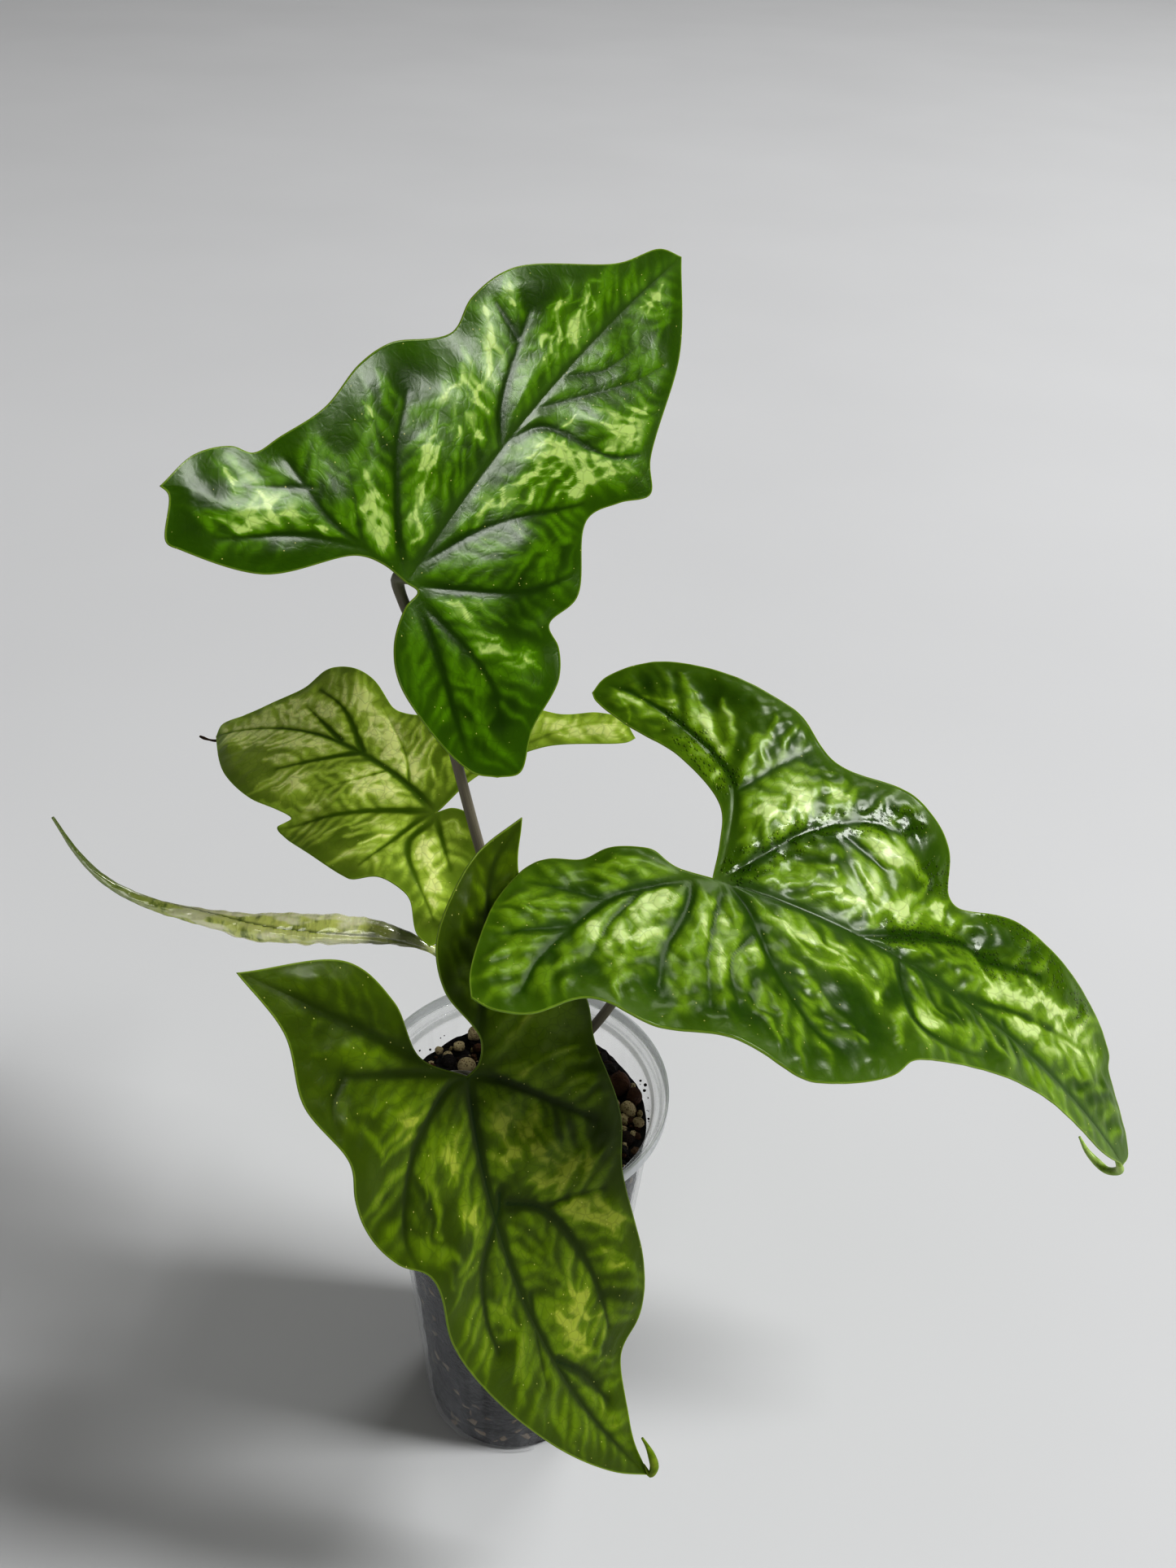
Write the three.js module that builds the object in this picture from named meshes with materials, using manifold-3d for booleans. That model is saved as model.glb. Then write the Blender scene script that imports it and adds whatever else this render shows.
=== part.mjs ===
// A young cercestis mirabilis in a tall clear nursery pot.
// Millimetres, +Z up. The origin is the middle of the pot's foot, on the surface it stands on.
// +Y points away from the viewer, +X to the viewer's right.

import * as THREE from 'three';
import { mergeVertices } from 'three/addons/utils/BufferGeometryUtils.js';
import Module from 'manifold-3d';

// Pot
const POT_HEIGHT = 150;
const RIM_RADIUS = 45;
const WALL_TOP_RADIUS = 41;
const WALL_TOP_HEIGHT = 143;
const FOOT_RADIUS = 30.5;
const FOOT_CHAMFER = 1;
const WALL_THICKNESS = 1.1;
const FLOOR_THICKNESS = 1.6;
const POT_SEGMENTS = 56;
const FOOT_NOTCHES = 8;
const FOOT_NOTCH_RADIUS = 4.5;
const DRAIN_HOLES = 8;
const DRAIN_HOLE_RADIUS = 3;
const DRAIN_RING_RADIUS = 18;

// Potting mix
const MIX_LEVEL = 135.5;
const MIX_SEED = 7;
const MIX_LUMPS = 110;
const LUMP_RADIUS_MIN = 1.6;
const LUMP_RADIUS_MAX = 3.6;
const CLEARANCE = 0.3;

// Stem
const STEM_RADIUS = 6;
const STEM_BOTTOM = 104;
const STEM_TOP = 146;
const STEM_SEGMENTS = 24;

// Petioles stand in a ring on the stem's top
const PETIOLE_RADIUS = 1.7;
const PETIOLE_SIDES = 10;
const PETIOLE_STEPS = 18;
const CROWN_RADIUS = 3.6;
const PETIOLE_NECK = 7;

// Blades
const BLADE_THICKNESS = 0.8;
const GUTTER_WIDTH = 9;
const SINUS_ROWS = 12;
const MIDRIB_ROWS = 20;
const BLADE_COLUMNS = 6;
const SINUS_SHARE = 0.36;
const TAIL_SIDES = 6;
const TAIL_ROWS = 8;
const TAIL_ROOT = 4;

// Each leaf lies in its own frame: the origin is where the petiole meets the blade, +Y runs along
// the midrib to the tip, +X to the right seen from above, and +Z is the upper side. Heading turns
// the midrib clockwise from +Y seen from above, climb lifts it, and roll turns the blade about it.
// Bends are heights per square of the distance, in parts of the length: the front and back droop
// along the midrib, the side droop across it, the gutter's slope, the twist, and each lobe's lift.
// Sway is how far the midrib's tip and its middle stand off the straight line. A swell is
// [x, y, radius, height]: a soft dip or rise that waves the margin. The tail is the thin tip that
// curls away past the blade, as [x, y, z, radius] in the plant's own frame.
const LEAVES = [
  {
    name: 'leaf_top',
    junction: [-30, 16.5, 309], heading: 36, climb: 26, roll: -56, length: 127,
    front: 0.06, back: 0.22, side: 0.19, gutter: 0.12, twist: 0, rightLift: 0.13, leftLift: 0.12,
    sway: [6, -3],
    swells: [[32, 50, 11, -4], [41, 20, 9, -3.5], [-36, 57, 11, -3], [-52, -4, 9, -3], [40, -22, 12, -3]],
    rightSinus: [[0, 0], [3.5, 0.5], [3.5, -5], [7.5, -14.5], [16, -21], [44, -23.5], [50.5, -20]],
    rightFront: [[50.5, -20], [54.5, -15], [50, -4], [48, 12.5], [43.5, 19], [37.5, 21.5], [39, 32.5],
      [29, 52.5], [33, 62.5], [38.5, 71.5], [32.5, 79], [21.5, 113], [6, 136.5]],
    leftSinus: [[0, 0], [-7.5, -1], [-14, -4.5], [-28, -24.5], [-45.5, -34], [-49, -35],
      [-55.5, -26.5], [-58, -26.5]],
    leftFront: [[-58, -26.5], [-57, -15], [-52, -6.5], [-47.5, -4], [-45.5, 3.5], [-42.5, 16.5],
      [-43, 31.5], [-40.5, 42.5], [-30.5, 59], [-32.5, 70], [-29.5, 85], [-8, 115], [-0.5, 131.5],
      [6, 136.5]],
    petiole: [[-3, 7, 190], [-14.7, 12, 242], [-25, 17, 285]],
    crownAngle: 72, color: 0x2c5a14, tail: [],
  },
  {
    name: 'leaf_back',
    junction: [-27, 51, 213], heading: -50, climb: 4, roll: 24, length: 113,
    front: 0.31, back: 0.11, side: 0.04, gutter: 0.19, twist: 0.06, rightLift: 0.09, leftLift: -0.01,
    sway: [-8.5, 7],
    swells: [[25, 38, 12, -4], [-31, 38, 9, -4], [-30, -3, 9, 3], [30, 62, 10, 2.5]],
    rightSinus: [[0, 0], [15.5, -3], [34, -15.5], [48.5, -37.5], [51, -39]],
    rightFront: [[51, -39], [54, -32], [52, -24], [46, -14.5], [42, -1], [27.5, 26.5], [24.5, 38],
      [24.5, 42.5], [29, 55.5], [28.5, 73.5], [26, 79], [19, 82.5], [16, 85.5], [2.5, 105],
      [-3, 114.5], [-8, 112]],
    leftSinus: [[0, 0], [4, -3.5], [5, -10.5], [-0.5, -18.5], [-10, -23], [-17.5, -24], [-32.5, -32],
      [-36, -31]],
    leftFront: [[-36, -31], [-35, -25], [-28, -16], [-27, -12], [-28, -4], [-33, 2], [-33.5, 5.5],
      [-31.5, 37.5], [-30, 42.5], [-25.5, 40.5], [-26.5, 60], [-23, 79.5], [-18.5, 91.5], [-8, 112]],
    petiole: [[-8, 13, 167], [-19, 37, 195]],
    crownAngle: 144, color: 0x7d9a2e,
    tail: [[-110, 129, 184.5, 0.5], [-113, 131, 183.5, 0.35], [-115, 132, 183.5, 0.55], [-116.5, 133, 183.5, 0.4]],
  },
  {
    name: 'leaf_right',
    junction: [49, -11, 240], heading: 100, climb: -10, roll: -16, length: 150,
    front: 0.55, back: 0.25, side: 0.07, gutter: 0.23, twist: -0.24, rightLift: -0.06, leftLift: -0.12,
    sway: [5, 1],
    swells: [[-24, 69, 11, -5], [-48, 29, 11, -4], [50, 12, 10, 3], [52, -21, 9, 3], [33, 60, 10, 2.5],
      [-30, 92, 10, -2]],
    rightSinus: [[0, 0], [-0.5, -10], [-4, -16.5], [-4, -20.5], [-1.5, -28], [4, -34], [6, -42],
      [9, -46], [14, -49], [25.5, -52.5], [49.5, -53], [57, -51]],
    rightFront: [[57, -51], [59, -45.5], [58, -37], [50.5, -24.5], [52.5, -9], [50, 10.5], [52, 28],
      [51, 33.5], [39.5, 53.5], [32.5, 59], [29, 64], [20.5, 80], [11.5, 107], [8.5, 137.5],
      [4.5, 149]],
    leftSinus: [[0, 0], [-11, 0], [-21.5, -2], [-33.5, -15.5], [-41.5, -32.5], [-48, -41.5],
      [-50.5, -43]],
    leftFront: [[-50.5, -43], [-56.5, -40.5], [-63.5, -29], [-63.5, -13.5], [-57.5, 8.5], [-55, 15],
      [-46.5, 27], [-43.5, 52.5], [-36, 64.5], [-25.5, 67.5], [-24, 70.5], [-29.5, 92.5],
      [-23.5, 123.5], [-17.5, 134], [-13.5, 135], [-3, 149], [0.5, 151], [4.5, 149]],
    petiole: [[20.7, -2, 176], [38, -6.5, 215]],
    crownAngle: 0, color: 0x3f7a1c,
    tail: [[183, -15, 131.5, 1.3], [181.5, -11.5, 127, 1.2], [180, -8, 126, 1.3], [177, -5, 128, 0.9],
      [174, -3, 132.5, 0.35]],
  },
  {
    name: 'leaf_front',
    junction: [-13, -48, 204.5], heading: 131, climb: -66, roll: -4, length: 137,
    front: 0, back: 0.23, side: 0.12, gutter: 0.14, twist: 0.05, rightLift: -0.11, leftLift: 0,
    sway: [-11.5, 9],
    swells: [[33, 40, 11, 4], [42, -2, 10, 3], [-18, 104, 10, -4], [-38, -38, 10, -4], [-42, 5, 12, -2]],
    rightSinus: [[0, 0], [11, -13], [11.5, -28.5], [18.5, -43.5], [44, -55]],
    rightFront: [[44, -55], [40.5, -37], [44, -20.5], [40.5, -3.5], [42.5, 5.5], [41.5, 19],
      [38, 28.5], [32, 36.5], [32, 58], [28.5, 74.5], [21.5, 94], [11, 115.5], [-1, 133.5],
      [-12, 145.5]],
    leftSinus: [[0, 0], [-4, -1], [-7, -6.5], [-2.5, -23], [-4, -32.5], [-8.5, -39], [-23.5, -49],
      [-42, -52]],
    leftFront: [[-42, -52], [-35.5, -35], [-41.5, 2.5], [-39.5, 13.5], [-39, 37], [-34, 52.5],
      [-32, 81], [-28.5, 95], [-25.5, 100.5], [-18, 107], [-12, 124.5], [-11, 133], [-12, 145.5]],
    petiole: [[-5, -21, 172], [-14, -41, 197]],
    crownAngle: 288, color: 0x50701a,
    tail: [[40, -78, 72, 0.8], [41, -77.5, 75, 1.3], [40, -76.5, 79.5, 1.1], [38.5, -75.5, 83, 0.6],
      [37, -75, 86, 0.35]],
  },
];

// The new leaf is still rolled: [x, y, z, radius] along it, from the stem to its thin tip.
const NEW_LEAF_ANGLE = 216;
const NEW_LEAF_SIDES = 12;
const NEW_LEAF_ROWS = 44;
const NEW_LEAF_PATH = [
  [-8, 3, 162, 1.5], [-17, 11, 179, 1.4], [-24, 14.5, 188.5, 1.3], [-29, 15, 192, 1.6],
  [-41, 16, 195.5, 3], [-57.5, 18, 195, 3.9], [-76, 20, 193.5, 4], [-94, 23, 194.5, 2.6],
  [-110, 26, 197, 1.8], [-122, 28, 203.5, 1.2], [-129, 30, 212, 0.8], [-134.5, 32, 223, 0.4],
];

const wasm = await Module();
wasm.setup();

// Draws the same numbers between 0 and 1 each time for one seed
function seededRandom(seed) {
  let state = seed;
  return () => {
    state = (state + 0x6d2b79f5) | 0;
    let t = Math.imul(state ^ (state >>> 15), 1 | state);
    t = (t + Math.imul(t ^ (t >>> 7), 61 | t)) ^ t;
    return ((t ^ (t >>> 14)) >>> 0) / 4294967296;
  };
}

function toSolid(geometry) {
  const bare = geometry.clone();
  bare.deleteAttribute('normal');
  bare.deleteAttribute('uv');
  const welded = mergeVertices(bare);
  const vertProperties = new Float32Array(welded.attributes.position.array);
  const triVerts = new Uint32Array(welded.index.array);
  return new wasm.Manifold(new wasm.Mesh({ numProp: 3, vertProperties, triVerts }));
}

function toGeometry(solid) {
  const mesh = solid.getMesh();
  const geometry = new THREE.BufferGeometry();
  geometry.setAttribute('position', new THREE.BufferAttribute(new Float32Array(mesh.vertProperties), 3));
  geometry.setIndex(new THREE.BufferAttribute(new Uint32Array(mesh.triVerts), 1));
  return geometry;
}

function addMesh(group, name, geometry, color, roughness, opacity = 1) {
  const material = new THREE.MeshStandardMaterial({ color, roughness, metalness: 0 });
  material.transparent = opacity < 1;
  material.opacity = opacity;
  const mesh = new THREE.Mesh(geometry, material);
  mesh.name = name;
  group.add(mesh);
}

// Joins triangles of points into one indexed geometry and drops those that have closed to a line
function weldTriangles(triangles) {
  const places = new Map();
  const positions = [];
  const index = [];
  const vertex = (p) => {
    const key = p.map((value) => value.toFixed(3)).join();
    if (!places.has(key)) {
      places.set(key, places.size);
      positions.push(...p);
    }
    return places.get(key);
  };
  for (const [a, b, c] of triangles) {
    const corners = [vertex(a), vertex(b), vertex(c)];
    if (new Set(corners).size === 3) index.push(...corners);
  }
  const geometry = new THREE.BufferGeometry();
  geometry.setAttribute('position', new THREE.Float32BufferAttribute(positions, 3));
  geometry.setIndex(index);
  return geometry;
}

// Pot: one turned wall with a stepped rim, notches round its foot and holes in its floor

function potWallRadius(z) {
  const slope = (WALL_TOP_RADIUS - FOOT_RADIUS) / (WALL_TOP_HEIGHT - FOOT_CHAMFER);
  return FOOT_RADIUS + (z - FOOT_CHAMFER) * slope;
}

function potGeometry() {
  const inside = (z) => potWallRadius(z) - WALL_THICKNESS;
  const profile = [
    [0, 0], [FOOT_RADIUS - FOOT_CHAMFER, 0], [FOOT_RADIUS, FOOT_CHAMFER],
    [WALL_TOP_RADIUS, WALL_TOP_HEIGHT], [RIM_RADIUS - 2, WALL_TOP_HEIGHT + 1],
    [RIM_RADIUS - 1.6, WALL_TOP_HEIGHT + 2.8], [RIM_RADIUS, WALL_TOP_HEIGHT + 3.2],
    [RIM_RADIUS, POT_HEIGHT], [RIM_RADIUS - 1.4, POT_HEIGHT],
    [RIM_RADIUS - 2, POT_HEIGHT - 2.4], [RIM_RADIUS - 3.6, POT_HEIGHT - 3],
    [inside(WALL_TOP_HEIGHT), WALL_TOP_HEIGHT], [inside(FLOOR_THICKNESS), FLOOR_THICKNESS],
    [0, FLOOR_THICKNESS],
  ];
  const points = profile.map(([x, y]) => new THREE.Vector2(x, y));
  let pot = toSolid(uprightLathe(points, POT_SEGMENTS));
  for (let i = 0; i < FOOT_NOTCHES; i += 1) {
    const turn = ((i + 0.5) / FOOT_NOTCHES) * 2 * Math.PI;
    const notch = new THREE.CylinderGeometry(FOOT_NOTCH_RADIUS, FOOT_NOTCH_RADIUS, 8, 16);
    notch.rotateZ(Math.PI / 2);
    notch.translate(FOOT_RADIUS, 0, 0);
    notch.rotateZ(turn);
    pot = pot.subtract(toSolid(notch));
  }
  for (let i = 0; i < DRAIN_HOLES; i += 1) {
    const hole = new THREE.CylinderGeometry(DRAIN_HOLE_RADIUS, DRAIN_HOLE_RADIUS, 6, 16);
    hole.rotateX(Math.PI / 2);
    hole.translate(DRAIN_RING_RADIUS, 0, 0);
    hole.rotateZ((i / DRAIN_HOLES) * 2 * Math.PI);
    pot = pot.subtract(toSolid(hole));
  }
  return toGeometry(pot);
}

// A turned shape whose axis stands along +Z
function uprightLathe(points, segments) {
  const geometry = new THREE.LatheGeometry(points, segments);
  geometry.rotateX(Math.PI / 2);
  return geometry;
}

// Potting mix: a plug that fills the pot, with lumps of bark and pumice sunk in its top

function mixGeometry() {
  const inside = (z) => potWallRadius(z) - WALL_THICKNESS - CLEARANCE;
  const bottom = FLOOR_THICKNESS + CLEARANCE;
  const profile = [[0, bottom], [inside(bottom), bottom], [inside(MIX_LEVEL), MIX_LEVEL], [0, MIX_LEVEL]];
  let mix = toSolid(uprightLathe(profile.map(([x, y]) => new THREE.Vector2(x, y)), POT_SEGMENTS));
  const random = seededRandom(MIX_SEED);
  for (let i = 0; i < MIX_LUMPS; i += 1) {
    const size = THREE.MathUtils.lerp(LUMP_RADIUS_MIN, LUMP_RADIUS_MAX, random() ** 2);
    const reach = (inside(MIX_LEVEL) - size - 1) * Math.sqrt((i + 0.5) / MIX_LUMPS);
    const turn = i * Math.PI * (3 - Math.sqrt(5));
    const lump = new THREE.IcosahedronGeometry(size, 0);
    lump.scale(1, 0.7 + 0.3 * random(), 0.6 + 0.3 * random());
    lump.rotateX(0.6 * random());
    lump.rotateZ(2 * Math.PI * random());
    lump.translate(reach * Math.cos(turn), reach * Math.sin(turn), MIX_LEVEL + 0.15 * size * random());
    mix = mix.add(toSolid(lump));
  }
  const holeRadius = STEM_RADIUS + CLEARANCE;
  const hole = new THREE.CylinderGeometry(holeRadius, holeRadius, POT_HEIGHT, STEM_SEGMENTS);
  hole.rotateX(Math.PI / 2);
  hole.translate(0, 0, STEM_BOTTOM - CLEARANCE + POT_HEIGHT / 2);
  return toGeometry(mix.subtract(toSolid(hole)));
}

// Stem: short and upright, with faint rings where old leaves stood

function stemGeometry() {
  const profile = [
    [0, STEM_BOTTOM], [STEM_RADIUS - 2, STEM_BOTTOM], [STEM_RADIUS - 0.6, STEM_BOTTOM + 3],
    [STEM_RADIUS - 0.5, STEM_TOP - 19], [STEM_RADIUS - 0.1, STEM_TOP - 17],
    [STEM_RADIUS - 0.5, STEM_TOP - 14], [STEM_RADIUS - 0.5, STEM_TOP - 8],
    [STEM_RADIUS, STEM_TOP - 6], [STEM_RADIUS - 0.4, STEM_TOP - 4],
    [STEM_RADIUS - 0.2, STEM_TOP], [0, STEM_TOP],
  ];
  const points = profile.map(([x, y]) => new THREE.Vector2(x, y));
  return toGeometry(toSolid(uprightLathe(points, STEM_SEGMENTS)));
}

// Leaf frames and surfaces

function leafAxes(leaf) {
  const [heading, climb, roll] = [leaf.heading, leaf.climb, leaf.roll].map(THREE.MathUtils.degToRad);
  const along = new THREE.Vector3(
    Math.sin(heading) * Math.cos(climb), Math.cos(heading) * Math.cos(climb), Math.sin(climb));
  const level = new THREE.Vector3(Math.cos(heading), -Math.sin(heading), 0);
  const raised = new THREE.Vector3().crossVectors(level, along);
  const across = level.clone().multiplyScalar(Math.cos(roll)).addScaledVector(raised, Math.sin(roll));
  const up = new THREE.Vector3().crossVectors(across, along);
  return { across, along, up };
}

function midribX(leaf, y) {
  const t = y / leaf.length;
  return leaf.sway[0] * t * t + leaf.sway[1] * 4 * t * (1 - t);
}

// Height of a leaf's upper face over its own plane
function bladeHeight(leaf, x, y) {
  const front = Math.max(y, 0);
  const back = Math.max(-y, 0);
  const off = x - midribX(leaf, Math.min(Math.max(y, 0), leaf.length * 1.1));
  const lift = x > 0 ? leaf.rightLift : leaf.leftLift;
  let height = leaf.gutter * (Math.hypot(off, GUTTER_WIDTH) - GUTTER_WIDTH);
  height -= (leaf.front * front ** 2 + leaf.back * back ** 2 + leaf.side * x ** 2) / leaf.length;
  height += (leaf.twist * x * y + lift * back * Math.abs(x)) / leaf.length;
  for (const [sx, sy, radius, rise] of leaf.swells) {
    height += rise * Math.exp(-((x - sx) ** 2 + (y - sy) ** 2) / (2 * radius ** 2));
  }
  return height;
}

// A point of the blade, a depth below its upper face
function bladePoint(leaf, axes, x, y, depth) {
  const step = 0.05;
  const slopeX = (bladeHeight(leaf, x + step, y) - bladeHeight(leaf, x - step, y)) / (2 * step);
  const slopeY = (bladeHeight(leaf, x, y + step) - bladeHeight(leaf, x, y - step)) / (2 * step);
  const normal = new THREE.Vector3(-slopeX, -slopeY, 1).normalize();
  const local = new THREE.Vector3(x, y, bladeHeight(leaf, x, y)).addScaledVector(normal, -depth);
  const point = new THREE.Vector3(...leaf.junction);
  point.addScaledVector(axes.across, local.x).addScaledVector(axes.along, local.y);
  return point.addScaledVector(axes.up, local.z).toArray();
}

function outlineCurve(points) {
  return new THREE.CatmullRomCurve3(points.map(([x, y]) => new THREE.Vector3(x, y, 0)), false, 'centripetal');
}

// Half a blade as rows from the lobe's tip to the leaf's tip. Each row runs from the sinus or the
// midrib out to the front margin, as the side veins do.
function halfBladeRows(leaf, sinus, front) {
  const rowCount = SINUS_ROWS + MIDRIB_ROWS;
  const sinusPoints = outlineCurve(sinus).getSpacedPoints(SINUS_ROWS).reverse();
  const frontCurve = outlineCurve(front);
  const [tipX, tipY] = front[front.length - 1];
  const tipShift = tipX - midribX(leaf, tipY);
  const rows = [];
  for (let row = 0; row <= rowCount; row += 1) {
    const along = Math.max((row - SINUS_ROWS) / MIDRIB_ROWS, 0);
    const y = tipY * along;
    const inner = row < SINUS_ROWS
      ? sinusPoints[row] : new THREE.Vector3(midribX(leaf, y) + tipShift * along ** 2, y, 0);
    const share = row < SINUS_ROWS
      ? (SINUS_SHARE * row) / SINUS_ROWS : SINUS_SHARE + (1 - SINUS_SHARE) * along;
    const outer = frontCurve.getPointAt(share);
    rows.push([...Array(BLADE_COLUMNS + 1).keys()].map((c) => {
      const point = inner.clone().lerp(outer, c / BLADE_COLUMNS);
      return [point.x, point.y];
    }));
  }
  return rows;
}

function bladeGeometry(leaf) {
  const axes = leafAxes(leaf);
  const triangles = [];
  const quad = (a, b, c, d) => triangles.push([a, b, c], [a, c, d]);
  for (const side of [1, -1]) {
    const right = side > 0;
    const rows = right
      ? halfBladeRows(leaf, leaf.rightSinus, leaf.rightFront)
      : halfBladeRows(leaf, leaf.leftSinus, leaf.leftFront);
    const faces = [0, BLADE_THICKNESS].map(
      (depth) => rows.map((row) => row.map(([x, y]) => bladePoint(leaf, axes, x, y, depth))));
    const [top, under] = faces;
    const ordered = (a, b, c, d) => (right ? quad(a, b, c, d) : quad(a, d, c, b));
    for (let i = 0; i + 1 < rows.length; i += 1) {
      for (let j = 0; j < BLADE_COLUMNS; j += 1) {
        const upper = [top[i][j], top[i][j + 1], top[i + 1][j + 1], top[i + 1][j]];
        const lower = [under[i][j], under[i][j + 1], under[i + 1][j + 1], under[i + 1][j]];
        triangles.push(...splitPair(upper, lower, right));
      }
      const edge = BLADE_COLUMNS;
      ordered(under[i][edge], under[i + 1][edge], top[i + 1][edge], top[i][edge]);
      if (i < SINUS_ROWS) ordered(top[i][0], top[i + 1][0], under[i + 1][0], under[i][0]);
    }
  }
  const blade = weldTriangles(triangles);
  return leaf.tail.length > 0 ? toGeometry(toSolid(blade).add(toSolid(tailGeometry(leaf, axes)))) : blade;
}

// The tail is rooted in the blade's thickness, a little way back along the midrib
function tailGeometry(leaf, axes) {
  const [tipX, tipY] = leaf.rightFront[leaf.rightFront.length - 1];
  const back = 1 - TAIL_ROOT / Math.hypot(tipX, tipY);
  const root = bladePoint(leaf, axes, tipX * back, tipY * back, BLADE_THICKNESS / 2);
  return sweptGeometry([[...root, BLADE_THICKNESS / 2], ...leaf.tail], TAIL_SIDES, TAIL_ROWS);
}

// Splits a patch of both faces along the same diagonal
function splitPair(upper, lower, right) {
  const [a, b, c, d] = right ? upper : [upper[0], upper[3], upper[2], upper[1]];
  const [e, f, g, h] = right ? lower : [lower[0], lower[3], lower[2], lower[1]];
  return [[a, b, c], [a, c, d], [e, g, f], [e, h, g]];
}

// Petioles

function crownPoint(angle) {
  const turn = THREE.MathUtils.degToRad(angle);
  return new THREE.Vector3(
    CROWN_RADIUS * Math.cos(turn), CROWN_RADIUS * Math.sin(turn), STEM_TOP + CLEARANCE);
}

// Rises straight off the stem's top and meets the blade's underside square on
function petioleGeometry(leaf) {
  const { along, up } = leafAxes(leaf);
  const end = new THREE.Vector3(...leaf.junction).addScaledVector(along, PETIOLE_RADIUS + 0.6);
  end.addScaledVector(up, -BLADE_THICKNESS - CLEARANCE);
  const neck = end.clone().addScaledVector(up, -PETIOLE_NECK);
  const foot = crownPoint(leaf.crownAngle);
  const rise = foot.clone().add(new THREE.Vector3(0, 0, 3));
  const middle = leaf.petiole.map((p) => new THREE.Vector3(...p));
  const path = new THREE.CatmullRomCurve3([foot, rise, ...middle, neck, end], false, 'centripetal');
  return tubeGeometry(path, PETIOLE_RADIUS);
}

function tubeGeometry(path, radius) {
  const circle = [...Array(PETIOLE_SIDES).keys()].map((i) => {
    const turn = (i / PETIOLE_SIDES) * 2 * Math.PI;
    return new THREE.Vector2(radius * Math.cos(turn), radius * Math.sin(turn));
  });
  const settings = { steps: PETIOLE_STEPS, bevelEnabled: false, extrudePath: path };
  return toGeometry(toSolid(new THREE.ExtrudeGeometry(new THREE.Shape(circle), settings)));
}

// New leaf: a stalk that swells into the rolled blade and runs out to a thin tip

function newLeafGeometry() {
  const foot = crownPoint(NEW_LEAF_ANGLE);
  const path = [[...foot.toArray(), 1.6], [foot.x, foot.y, foot.z + 3, 1.6], ...NEW_LEAF_PATH];
  return sweptGeometry(path, NEW_LEAF_SIDES, NEW_LEAF_ROWS);
}

// A round tube along [x, y, z, radius] points, whose radius follows them
function sweptGeometry(path, sides, rowCount) {
  const curve = new THREE.CatmullRomCurve3(
    path.map(([x, y, z]) => new THREE.Vector3(x, y, z)), false, 'centripetal');
  const frames = curve.computeFrenetFrames(rowCount, false);
  const rings = [];
  for (let i = 0; i <= rowCount; i += 1) {
    const centre = curve.getPointAt(i / rowCount);
    const place = curve.getUtoTmapping(i / rowCount) * (path.length - 1);
    const before = Math.min(Math.floor(place), path.length - 2);
    const radius = THREE.MathUtils.lerp(path[before][3], path[before + 1][3], place - before);
    rings.push([...Array(sides).keys()].map((k) => {
      const turn = (k / sides) * 2 * Math.PI;
      const point = centre.clone().addScaledVector(frames.normals[i], radius * Math.cos(turn));
      return point.addScaledVector(frames.binormals[i], radius * Math.sin(turn)).toArray();
    }));
  }
  return ringsGeometry(rings, curve.getPoint(0).toArray(), curve.getPoint(1).toArray());
}

// A closed skin over rings of points, with a middle point at each end
function ringsGeometry(rings, first, last) {
  const triangles = [];
  const count = rings[0].length;
  for (let k = 0; k < count; k += 1) {
    const next = (k + 1) % count;
    triangles.push([first, rings[0][next], rings[0][k]]);
    for (let i = 0; i + 1 < rings.length; i += 1) {
      const [a, b, c, d] = [rings[i][k], rings[i][next], rings[i + 1][next], rings[i + 1][k]];
      triangles.push([a, b, c], [a, c, d]);
    }
    triangles.push([last, rings[rings.length - 1][k], rings[rings.length - 1][next]]);
  }
  return weldTriangles(triangles);
}

const plant = new THREE.Group();
addMesh(plant, 'pot', potGeometry(), 0xc9cdd2, 0.3, 0.35);
addMesh(plant, 'potting_mix', mixGeometry(), 0x3a3230, 0.95);
addMesh(plant, 'stem', stemGeometry(), 0x5b5a3a, 0.7);
for (const leaf of LEAVES) {
  addMesh(plant, `${leaf.name}_petiole`, petioleGeometry(leaf), 0x5a5548, 0.6);
  addMesh(plant, `${leaf.name}_blade`, bladeGeometry(leaf), leaf.color, 0.35);
}
addMesh(plant, 'new_leaf_rolled', newLeafGeometry(), 0xa9b558, 0.35);

export default plant;
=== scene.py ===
"""A young cercestis mirabilis in a clear nursery pot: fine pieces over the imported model.

Lengths are millimetres unless a name or comment says otherwise. The origin is the middle of the
pot's foot, +Z is up and +Y points away from the camera.
"""

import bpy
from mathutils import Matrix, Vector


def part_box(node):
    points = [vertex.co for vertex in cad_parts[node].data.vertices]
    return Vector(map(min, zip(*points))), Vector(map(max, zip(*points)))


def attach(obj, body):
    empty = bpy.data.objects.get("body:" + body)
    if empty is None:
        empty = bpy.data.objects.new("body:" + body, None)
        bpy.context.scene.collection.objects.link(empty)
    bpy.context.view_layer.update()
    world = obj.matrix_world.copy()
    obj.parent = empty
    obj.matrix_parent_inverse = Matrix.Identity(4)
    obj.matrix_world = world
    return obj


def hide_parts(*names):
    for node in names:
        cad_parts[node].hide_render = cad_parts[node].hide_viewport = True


bl_info = {
    "name": "Potted cercestis mirabilis",
    "version": (1, 0, 0),
    "blender": (4, 5, 0),
    "location": "View3D > Sidebar > Plant",
    "description": "Builds a potted cercestis mirabilis with veined and streaked leaves",
    "category": "Add Mesh",
}

import math

import bmesh
import bpy
import numpy as np
from bpy.props import FloatProperty, FloatVectorProperty, IntProperty, PointerProperty
from mathutils import Matrix, Vector

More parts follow.
